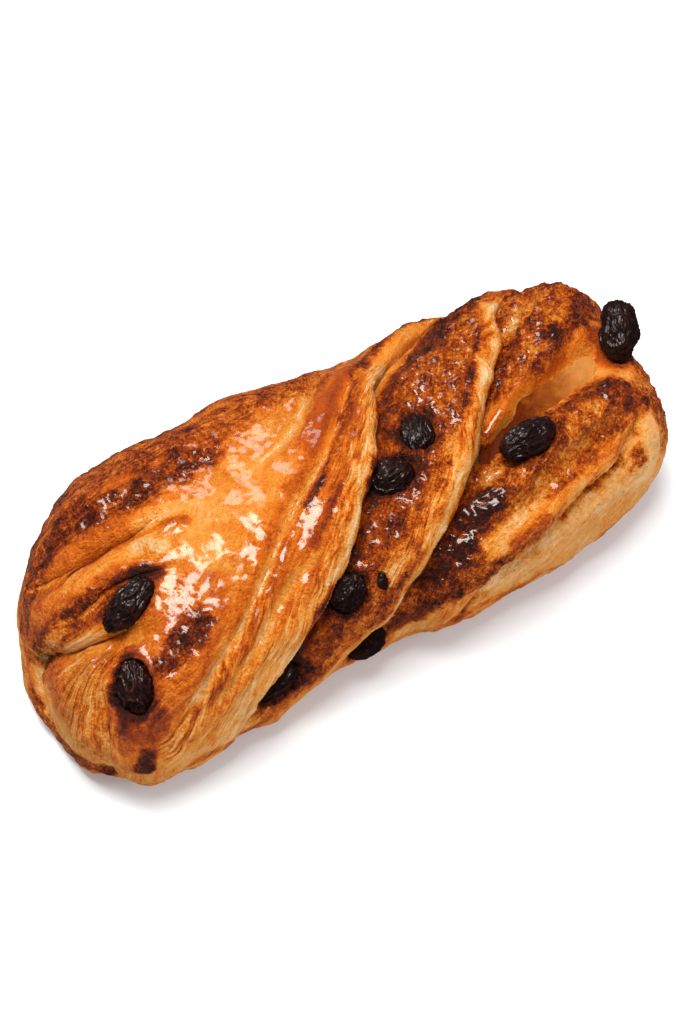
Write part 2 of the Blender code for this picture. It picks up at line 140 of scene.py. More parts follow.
# Distance of each point from a line, below zero on the side of the upper strip and farAway beyond
# the reach, the share of the line passed, and the direction across it
def measure(points, normals, line, reach):
    heading = np.gradient(line, axis=0)
    heading /= np.linalg.norm(heading, axis=1, keepdims=True)
    nearest = np.full(len(points), float(reach))
    share = np.zeros(len(points))
    offset = np.zeros_like(points)
    along = np.zeros_like(points)
    for k in range(len(line) - 1):
        piece = line[k + 1] - line[k]
        near = np.flatnonzero(np.abs(points - line[k]).max(1) < reach + np.linalg.norm(piece))
        t = np.clip((points[near] - line[k]) @ piece / (piece @ piece), 0, 1)
        gap = points[near] - line[k] - t[:, None] * piece
        distance = np.linalg.norm(gap, axis=1)
        closer = distance < nearest[near]
        chosen, t = near[closer], t[closer]
        nearest[chosen] = distance[closer]
        share[chosen] = (k + t) / (len(line) - 1)
        offset[chosen] = gap[closer]
        along[chosen] = heading[k] + t[:, None] * (heading[k + 1] - heading[k])
    across = np.cross(normals, along)
    across /= np.linalg.norm(across, axis=1, keepdims=True) + 1e-9
    far = nearest * np.sign(np.einsum("ij,ij->i", offset, across))
    far[nearest >= reach] = farAway
    return far, share, across


# Two directions in the surface at a place, the first one leaning from the length towards the top
def leaningAxes(at, lean):
    normal = loafNormal(*np.array(at, float))
    along = np.array([1.0, 0, 0]) - normal[0] * normal
    along /= np.linalg.norm(along)
    upward = np.cross(normal, along)
    angle = math.radians(lean)
    longSide = along * math.cos(angle) + upward * math.sin(angle)
    return longSide, np.cross(normal, longSide)


# Strips that lie over the next one: the edge's path, width and drop of its rounded face, how far the
# lower strip takes to swell up again, and how pale the face is
ledges = {
    "left strip over middle strip": dict(path=[(66, -96), (56, -76), (45, -59), (30, -42), (18, -25),
        (10, -4), (2, 15), (-5, 28), (-10, 39), (-17, 51), (-24, 61), (-31, 73), (-39, 86), (-46, 99),
        (-50, 112)], face=(5, 5, 4, 4, 5, 8, 11), drop=(0, 3, 5, 6, 6, 6.5, 6, 3), run=13, pale=1.0),
    "middle strip over right strip": dict(path=[(78, -86), (70, -60), (57, -37), (48, -12), (38, 3),
        (26, 24), (13, 42), (5, 55), (-2, 69), (-9, 88), (-20, 106), (-34, 122)],
        face=(5, 5, 4, 4, 5, 5, 5), drop=(0, 3, 5, 5.5, 8, 8.5, 7.5, 4, 1), run=15, pale=0.9),
    "lower fold of the right strip": dict(path=[(70, 44), (64, 52), (57, 58), (48, 61), (40, 65), (33, 70),
        (26, 76), (18, 83), (11, 92), (8, 108)], face=(3.5, 4, 4, 4, 4), drop=(0, 4, 4.4, 4.4, 4, 3, 1),
        run=8, pale=0.5),
    "back strip over its flap": dict(path=[(-40, -6), (-47, -8), (-54, -14), (-61, -21), (-68, -31),
        (-74, -46)], face=(3, 3, 3), drop=(0, 1.5, 3, 3, 0), run=6, pale=0.2),
    "flap over the end fold": dict(path=[(-46, 14), (-50, 9), (-56, 3), (-63, -1), (-70, -5), (-76, -16)],
        face=(2.5, 2.5, 2.5), drop=(0, 1.6, 2.2, 1.6, 0.8, 0), run=5, pale=0.2),
    "flap over the end lobe": dict(path=[(-58, 20), (-62, 17), (-67, 12), (-72, 5), (-77, -6), (-80, -24),
        (-82, -60)], face=(3, 4, 4), drop=(0, 4.5, 5, 4.5, 4, 3.5, 0), run=7, pale=0.9),
    "front corner over the end": dict(path=[(-79, 112), (-78, 88), (-77, 60), (-75, 41), (-72, 28),
        (-66, 22), (-60, 26)], face=(3, 4, 3), drop=(0, 2.2, 2.8, 2.2, 0), run=8, pale=0.2),
    "first strip on the back": dict(path=[(8, -116), (-2, -96), (-12, -80), (-26, -66), (-40, -56)],
        face=(5, 5, 4), drop=(0, 3.5, 4, 3, 0), run=12, pale=0.8),
    "second strip on the back": dict(path=[(-34, -118), (-44, -100), (-54, -84), (-66, -72)],
        face=(4, 5, 4), drop=(0, 3, 3.5, 0), run=11, pale=0.7),
    "outer turn of the right end": dict(path=[(70, -112), (78, -84), (81, -56), (81, -30), (80, -14)],
        face=(3, 4, 4), drop=(0, 3, 3, 2.5, 0), run=8, pale=0.5),
}

wornEdge = [(9.0, 0.5), (2.6, 0.12)]      # how the strips' edges wander: size, depth

# Every strip's edge: height and width of its rim, how far it hangs over, how far it curls under in
# degrees, the drop at which it is fully formed, how far the lower strip is drawn along, and where the
# pale face begins (in widths of the face, with its fade) and ends
ledgeForm = dict(rim=(0.25, 1.2), hang=0.6, curl=125, fullDrop=2.0, drag=5.0, paleFrom=(-1.05, 0.4),
                 paleTo=1.5)


# The rounded face of an upper strip curls under its edge, and the lower strip swells up beyond
def ledge(points, normals, wander, marks, path, face, drop, run, pale):
    measured, share, across = measure(points, normals, track(path), guideReach)
    far = np.where(measured > farAway, measured + wander, measured)
    width, fall = spread(face, share), spread(drop, share)
    strength = smooth(fall / ledgeForm["fullDrop"])
    curl = math.radians(ledgeForm["curl"])
    turn = curl * np.clip(far / width + 1, 0, 1)
    under = -width + (width + ledgeForm["hang"]) * np.sin(turn)
    drawn = under * (1 - smooth(far / ledgeForm["drag"]))
    shift = np.where(far < 0, under - np.maximum(far, -width), drawn)
    sunk = (1 - np.cos(turn)) / (1 - math.cos(curl))
    swell = 1 - np.sin(np.clip(far / run, 0, 1) * math.pi / 2)
    height = np.where(far < 0, -fall * sunk, -fall * swell)
    raised, rimWidth = ledgeForm["rim"]
    height += raised * strength * np.exp(-(((far + width) / rimWidth) ** 2))
    start, fade = ledgeForm["paleFrom"]
    paleness = smooth((far / width - start) / fade) * (1 - smooth(far / ledgeForm["paleTo"]))
    marks["lip"] = np.maximum(marks["lip"], pale * strength * paleness)
    marks["guides"].append(measured)
    return normals * height[:, None] + across * (shift * strength)[:, None]


# Hollows between strips: path, depth and half width
grooves = {
    "between the right rolls": dict(path=[(73, 11), (66, 13), (56, 15), (47, 18), (38, 23), (31, 27),
        (24, 28)], depth=(0, 5, 7.5, 7.5, 7.5, 7, 6, 4, 0), half=(5, 7.5, 8, 7.5, 6.5, 5.5, 4.5, 3.5)),
    "valley of the lower roll": dict(path=[(72, 46), (62, 46), (52, 47), (44, 49), (34, 52), (24, 56),
        (14, 61)], depth=(0, 1.8, 2.5, 2.5, 2.2, 1.6, 0), half=(5, 5.5, 5)),
    "under the left strip": dict(path=[(-16, 54), (-22, 62), (-27, 70), (-31, 74)], depth=(0, 3.5, 3.5, 0),
        half=(3, 4, 3)),
    "round the low raisin": dict(path=[(-31, 74), (-36, 80), (-42, 84), (-47, 86)], depth=(0, 4, 4, 0),
        half=(3, 5, 3)),
}

flatBed = 0.2             # share of a groove's half width that is flat


def groove(points, normals, path, depth, half):
    far, share, _ = measure(points, normals, track(path), max(half) + 1)
    bed = 1 - smooth((np.abs(far) / spread(half, share) - flatBed) / (1 - flatBed))
    return normals * (-spread(depth, share) * bed)[:, None]


# Fine folds: path, depth (below zero for a ridge) and half width
creases = {
    "fold along the lip": dict(path=[(31, -57), (21, -37), (11, -25), (4, -12), (-4, 1), (-11, 11),
        (-20, 21), (-28, 30), (-36, 39), (-45, 47), (-56, 56), (-66, 66)],
        depth=(0, 1.6, 1.8, 1.6, 1.5, 1.4, 1.1, 0), half=(1.2,)),
    "swell beside the lip": dict(path=[(33, -50), (24, -36), (15, -21), (8, -5), (0, 10), (-8, 22),
        (-16, 32), (-26, 40)], depth=(0, -0.9, -1, -0.8, 0), half=(3.2,)),
    "second fold of the fan": dict(path=[(-18, 38), (-27, 42), (-36, 50), (-44, 58), (-52, 66), (-62, 74)],
        depth=(0, 1.4, 1.7, 1.5, 0), half=(1.6,)),
    "third fold of the fan": dict(path=[(-42, 38), (-49, 48), (-57, 60), (-62, 70), (-66, 78)],
        depth=(0, 1.3, 1.3, 0), half=(1.5,)),
    "fourth fold of the fan": dict(path=[(-34, 58), (-42, 68), (-50, 78), (-56, 90)],
        depth=(0, 1.5, 1.4, 0), half=(1.8,)),
    "gap under the upper roll": dict(path=[(44, 36), (38, 35), (33, 34.5), (28, 35.5), (22, 38)],
        depth=(0, 3.2, 4, 3.4, 0), half=(1.7,)),
    "fold on the dome": dict(path=[(19, -62), (13, -50), (0, -25), (-8, -12), (-16, -5), (-24, -2)],
        depth=(0, 1.0, 1.2, 1.0, 0), half=(1.7,)),
    "dark ridge at the back": dict(path=[(-12, -34), (-28, -30), (-42, -29), (-52, -33), (-62, -42),
        (-70, -52)], depth=(0, -1, -1.3, -1.2, 0), half=(5.5,)),
    "slit over the flap": dict(path=[(-47, -8), (-54, -14), (-61, -21), (-67, -29)],
        depth=(0, 2.2, 2.2, 0), half=(1.1,)),
    "notch in the end": dict(path=[(-79, -16), (-81, -36), (-82, -70)], depth=(0, 3, 2, 0), half=(2.4,)),
    "ridge of the lower fold": dict(path=[(66, 44), (58, 51), (48, 55), (38, 58), (30, 63), (20, 70),
        (12, 80)], depth=(0, -1.8, -2, -1.6, 0), half=(2.8,)),
    "turn in the upper roll": dict(path=[(72, -44), (60, -26), (52, -16), (46, -6)], depth=(0, 1.8, 2, 0),
        half=(2.4,)),
    "seam low in the front": dict(path=[(14, 92), (9, 104), (7, 120)], depth=(0, 2, 1.5), half=(1.5,)),
    "seam low in the end": dict(path=[(-80, 96), (-79, 110), (-76, 126)], depth=(0, 2, 2), half=(1.8,)),
}

bellReach = 3             # half widths after which a crease or a lump has died out


def crease(points, normals, path, depth, half):
    far, share, _ = measure(points, normals, track(path), bellReach * max(half))
    return normals * (-spread(depth, share) * np.exp(-((far / spread(half, share)) ** 2)))[:, None]


# Swells and hollows: place, half sizes along and around, height, turn of the long side
lumps = {
    "dome": dict(at=(-36, 10), size=(26, 16), height=1.2, lean=-30),
    "middle strip": dict(at=(26, -12), size=(18, 8), height=1.0, lean=-58),
    "middle strip low": dict(at=(-2, 44), size=(16, 7), height=1.0, lean=-50),
    "lower roll end": dict(at=(66, 38), size=(12, 8), height=1.4, lean=-10),
    "upper roll": dict(at=(62, -14), size=(12, 8), height=1.2, lean=-40),
    "end of the upper roll": dict(at=(72, -26), size=(14, 10), height=3.5),
    "flap": dict(at=(-60, -2), size=(12, 6), height=1.2, lean=-25),
    "end lobe": dict(at=(-80, 10), size=(7, 8), height=1.4),
    "raisin under the crust": dict(at=(-71, 80), size=(4.5, 5), height=1.2),
    "bump under the glaze": dict(at=(-68, 36), size=(5, 7), height=1.0, lean=60),
    "left of the seam": dict(at=(16, 104), size=(12, 8), height=-1.5),
    "end tucked in": dict(at=(-81, -40), size=(9, 12), height=-2.6),
    "low corner": dict(at=(-80, 112), size=(8, 10), height=-2.0),
    "waist at the back": dict(at=(6, -66), size=(12, 10), height=-1.2),
    "shoulder at the left": dict(at=(-52, -60), size=(14, 13), height=1.5),
    "back of the dome": dict(at=(-5, -54), size=(15, 9), height=1.1),
    "side under the middle strip": dict(at=(24, 112), size=(7, 9), height=-1.2),
    "side under the left strip": dict(at=(-3, 108), size=(6, 8), height=-1.5),
    "foot of the front corner": dict(at=(-71, 120), size=(5, 8), height=1.2),
    "foot of the upper roll": dict(at=(40, 16.5), size=(5, 4), height=1.2),
}

unevenness = dict(scale=13.0, height=0.8)


def lump(points, normals, at, size, height, lean=0):
    along, roundIt = leaningAxes(at, lean)
    gap = points - loafPoint(*np.array(at, float))
    far = np.hypot(gap @ along / size[0], gap @ roundIt / size[1])
    return normals * (height * np.exp(-far ** 2) * (far < bellReach))[:, None]


# Move points of the smooth loaf to the folded dough, and note the pale faces and the ways of the strips
def fold(points, normals, wander=0.0):
    marks = dict(lip=np.zeros(len(points)), guides=[])
    moved = points + normals * (unevenness["height"] * grain(points, unevenness["scale"]))[:, None]
    for values in ledges.values():
        moved += ledge(points, normals, wander, marks, **values)
    for values in grooves.values():
        moved += groove(points, normals, **values)
    for values in creases.values():
        moved += crease(points, normals, **values)
    for values in lumps.values():
        moved += lump(points, normals, **values)
    moved[:, 2] = np.maximum(moved[:, 2], 0)
    moved[points[:, 2] <= 0, 2] = 0
    return moved, marks


# A point of the folded dough and the way out of it
def foldedPlace(at):
    along, turn = (np.array([float(value)]) for value in at)
    point, normal = loafPoint(along, turn), loafNormal(along, turn)
    return Vector(fold(point, normal)[0][0]), Vector(normal[0])


raisinLength = 12.5

# Where the raisins lie and their length and thickness, as shares of raisinLength. lean turns the long
# side in the surface, rise lifts it out, sink is how deep the raisin sits and crusted how baked it is
raisins = {
    "raisin_right_end": dict(at=(73.2, 10.5), size=(1.32, 0.85), lean=73, rise=34, sink=-3.2),
    "raisin_right_groove": dict(at=(38.5, 30.5), size=(1.28, 0.78), lean=-2, sink=0.4),
    "raisin_middle_upper": dict(at=(17, 6.5), size=(0.92, 0.7), lean=62, sink=2.2),
    "raisin_middle_lower": dict(at=(6.5, 18.5), size=(0.98, 0.78), lean=10, sink=2.4),
    "raisin_under_lip": dict(at=(-15.8, 60.5), size=(0.82, 0.72), lean=40, sink=0.7),
    "raisin_small": dict(at=(-8.3, 59.5), size=(0.38, 0.24), lean=84, sink=0.5),
    "raisin_front_base": dict(at=(-13, 109), size=(0.92, 0.64), lean=40, sink=0.4),
    "raisin_front_hollow": dict(at=(-36, 93), size=(1.06, 0.56), lean=20, sink=1.0),
    "raisin_left_fold": dict(at=(-60, 11), size=(1.3, 0.66), lean=16, sink=0.7),
    "raisin_left_glazed": dict(at=(-68, 39), size=(1.06, 0.7), lean=70, sink=2.7, crusted=0.18),
    "raisin_back_fold": dict(at=(-2, -84), size=(0.9, 0.62), lean=-40, sink=0.8),
    "raisin_back_low": dict(at=(46, -92), size=(0.88, 0.64), lean=20, sink=1.2),
    "raisin_end_fold": dict(at=(80.5, -60), size=(0.9, 0.6), lean=40, sink=1.0),
}

# The skin of a raisin: (size, depth) of its plump places and its crinkle, and of its ridges, whose
# level is taken off and which are drawn out along it. They are full on a half length of fullFrom mm
raisinSkin = dict(detail=6, plump=(4.4, 0.14), ridges=[(1.7, 0.42), (0.8, 0.24)], level=0.6,
                  crinkle=(0.4, 0.06), lengthwise=0.36, sharpness=4.5, flatness=0.88, fullFrom=4.0,
                  ridgeShift=5.0, seedShift=(7.3, 3.1, 5.7))


# Where a raisin lies: its centre and its long, short and upright directions
def raisinPlace(at, lean, sink, rise=0):
    point, normal = foldedPlace(at)
    flat, shortSide = (Vector(axis) for axis in leaningAxes(at, lean))
    angle = math.radians(rise)
    longSide = flat * math.cos(angle) + normal * math.sin(angle)
    upright = normal * math.cos(angle) - flat * math.sin(angle)
    return np.array(point - normal * sink), np.array([longSide, shortSide, upright]).T


def raisinRadii(size):
    length, thickness = (share * raisinLength for share in size)
    return np.array([length, thickness, thickness * raisinSkin["flatness"]]) / 2


# The bed of a raisin. In shares of the raisin's radii: the rim and its fade, the swell round it
# (height in mm, distance from the rim, width), how low and high the bed looks for dough, how far the
# swell reaches and how wide the dough is scorched. ease is in mm, facing is the least slope towards
# the raisin, scorch is added to the tone and dull is taken from the gloss
raisinBed = dict(ease=-0.3, rim=(1.04, 0.2), swell=(0.08, 0.12, 0.2), span=(-1.05, 2.2), reach=2.0,
                 facing=0.1, scorch=0.14, scorchWidth=0.25, dull=0.75)


# Press the bed of a raisin into the dough, and note the scorched edge
def pressBed(points, normals, scorched, centre, axes, radii):
    size = radii + raisinBed["ease"]
    local = (points - centre) @ axes / size
    away = np.hypot(local[:, 0], local[:, 1])
    low, high = raisinBed["span"]
    upper = (local[:, 2] > low) & (local[:, 2] < high) & (normals @ axes[:, 2] > raisinBed["facing"])
    edge, fade = raisinBed["rim"]
    inside = upper & (away < edge)
    floorHeight = -np.sqrt(np.clip(1 - away[inside] ** 2, 0, 1))
    pressed = smooth((edge - away[inside]) / fade)
    local[inside, 2] += pressed * (np.minimum(floorHeight, local[inside, 2]) - local[inside, 2])
    moved = points.copy()
    moved[inside] = centre + (local[inside] * size) @ axes.T
    rim = upper & (away >= edge - fade) & (away < raisinBed["reach"])
    raised, distance, width = raisinBed["swell"]
    swell = raised * np.exp(-(((away[rim] - edge - distance) / width) ** 2))
    moved[rim] += normals[rim] * swell[:, None]
    burn = np.exp(-(np.maximum(away - 1, 0) / raisinBed["scorchWidth"]) ** 2)
    scorched[upper] = np.maximum(scorched[upper], burn[upper])
    return moved


doughMesh = dict(rows=372, around=262, underside=(165.0, 118.0))   # degrees on the ball, and on the loaf


# Places for the rows of the ball's points: evenly spaced along the outline from end to end
def rowPlaces(share):
    angle = np.linspace(0, math.pi, 2001)
    bluntness = loafShape["bluntness"]
    x = -loafShape["length"] / 2 * np.sign(np.cos(angle)) * np.abs(np.cos(angle)) ** (1 / bluntness)
    radius = loafShape["width"] / 2 * np.sin(angle) ** (1 / bluntness)
    run = np.concatenate([[0], np.cumsum(np.hypot(np.diff(x), np.diff(radius)))])
    return np.interp(share * run[-1], run, x)


# A grid of places on the smooth loaf, closed by a point at each end
def loafGrid():
    rows, around = doughMesh["rows"], doughMesh["around"]
    x = rowPlaces(np.arange(1, rows) / rows)
    angle = np.arange(around) * 360 / around - 180
    ballEdge, loafEdge = doughMesh["underside"]
    turn = np.interp(angle, [-180, -ballEdge, ballEdge, 180], [-180, -loafEdge, loafEdge, 180])
    along, turns = (grid.ravel() for grid in np.meshgrid(x, turn, indexing="ij"))
    tip = loafShape["length"] / 2
    along = np.concatenate([[-tip], along, [tip]])
    turns = np.concatenate([[0], turns, [0]])
    column = np.arange(around)
    beside = (column + 1) % around
    quads = [np.stack([r * around + column + 1, r * around + beside + 1, (r + 1) * around + beside + 1,
                       (r + 1) * around + column + 1], 1) for r in range(rows - 2)]
    last = len(along) - 1
    tips = [np.stack([0 * column, beside + 1, column + 1], 1),
            np.stack([last + 0 * column, last - around + column, last - around + beside], 1)]
    return along, turns, np.concatenate(quads), np.concatenate(tips)


# The average of each point's neighbours, a few times over
def relaxed(points, edges, times):
    count = np.bincount(edges.ravel(), minlength=len(points))[:, None]
    for _ in range(times):
        total = np.stack([
            np.bincount(edges[:, 0], points[edges[:, 1], k], len(points))
            + np.bincount(edges[:, 1], points[edges[:, 0], k], len(points)) for k in range(3)], 1)
        points = total / count
    return points


def vertexNormals(points, quads):
    corners = points[quads]
    facing = np.cross(corners[:, 2] - corners[:, 0], corners[:, 3] - corners[:, 1])
    normals = np.stack([
        sum(np.bincount(quads[:, j], facing[:, k], len(points)) for j in range(4)) for k in range(3)], 1)
    return normals / (np.linalg.norm(normals, axis=1, keepdims=True) + 1e-12)


pitch = 0.55              # mm along for each degree of the strips' twist
lengthShare = 0.6         # how much a mm along the loaf counts in the coordinate along the strips
guideReach = 24.0         # how far an edge leads the streaks, in mm
farWeight = 0.002         # the pull of the plain twist away from every edge
edgeBand = 1.5            # how near to an edge, in mm, the points are that tell where it lies
edgePull = 4.0            # keeps the pull of an edge finite on the edge itself
waver = [(8.0, 0.8), (2.2, 0.3)]                  # how the fibres wander: size, amount
streakGuides = ["fold along the lip", "third fold of the fan", "dark ridge at the back",
                "turn in the upper roll", "ridge of the lower fold"]


# A coordinate in mm that runs across the strips, and where each edge lies on it
def acrossStrips(helix, guides):
    across = farWeight * helix
    total = np.full(len(helix), farWeight)
    middles = []
    for far in guides:
        near = far > farAway
        middle = helix[near & (np.abs(far) < edgeBand)].mean()
        sense = np.sign(np.sum(far[near] * (helix[near] - middle)))
        weight = np.where(near, (1 - np.abs(far) / guideReach) ** 2 / (far ** 2 + edgePull), 0)
        across += weight * (middle + sense * far)
        total += weight
        middles.append(middle)
    return across / total, middles


# The camera's place, its right, up and backward directions, and its focal length in pixels
def cameraAxes():
    azimuth, elevation = math.radians(viewpoint["azimuth"]), math.radians(viewpoint["elevation"])
    back = Vector((math.sin(azimuth) * math.cos(elevation), -math.cos(azimuth) * math.cos(elevation),
                   math.sin(elevation)))
    right = Vector((math.cos(azimuth), math.sin(azimuth), 0))
    place = Vector(viewpoint["target"]) + back * viewpoint["distance"]
    focal = viewpoint["lens"] / viewpoint["sensor"] * photo["height"]
    return place, right, back.cross(right), back, focal


# Where the line of sight through a pixel meets the dough
def pixelPlace(tree, pixel):
    place, right, up, back, focal = cameraAxes()
    x, y = pixel[0] - photo["width"] / 2, photo["height"] / 2 - pixel[1]
    sight = (right * x + up * y - back * focal).normalized()
    hit = tree.ray_cast(place, sight)[0]
    return None if hit is None else np.array(hit)


# What each part of the crust starts from: tone is how baked, from raw cream (0) to burnt (1), and a few
# strokes also raise it as painted shade
strips = {
    "left": dict(tone=0.44, mottle=0.4, streak=0.5, gloss=1.0, blister=0.2),
    "middle": dict(tone=0.62, mottle=0.95, streak=0.7, gloss=0.85, blister=0.9),
    "right": dict(tone=0.57, mottle=1.0, streak=0.7, gloss=0.75, blister=1.0),
    "side": dict(tone=0.25, mottle=0.35, streak=0.7, gloss=0.3, blister=0.25),
    "lip": dict(tone=0.2, mottle=0.3, streak=1.5, gloss=0.35, blister=0.05),
}

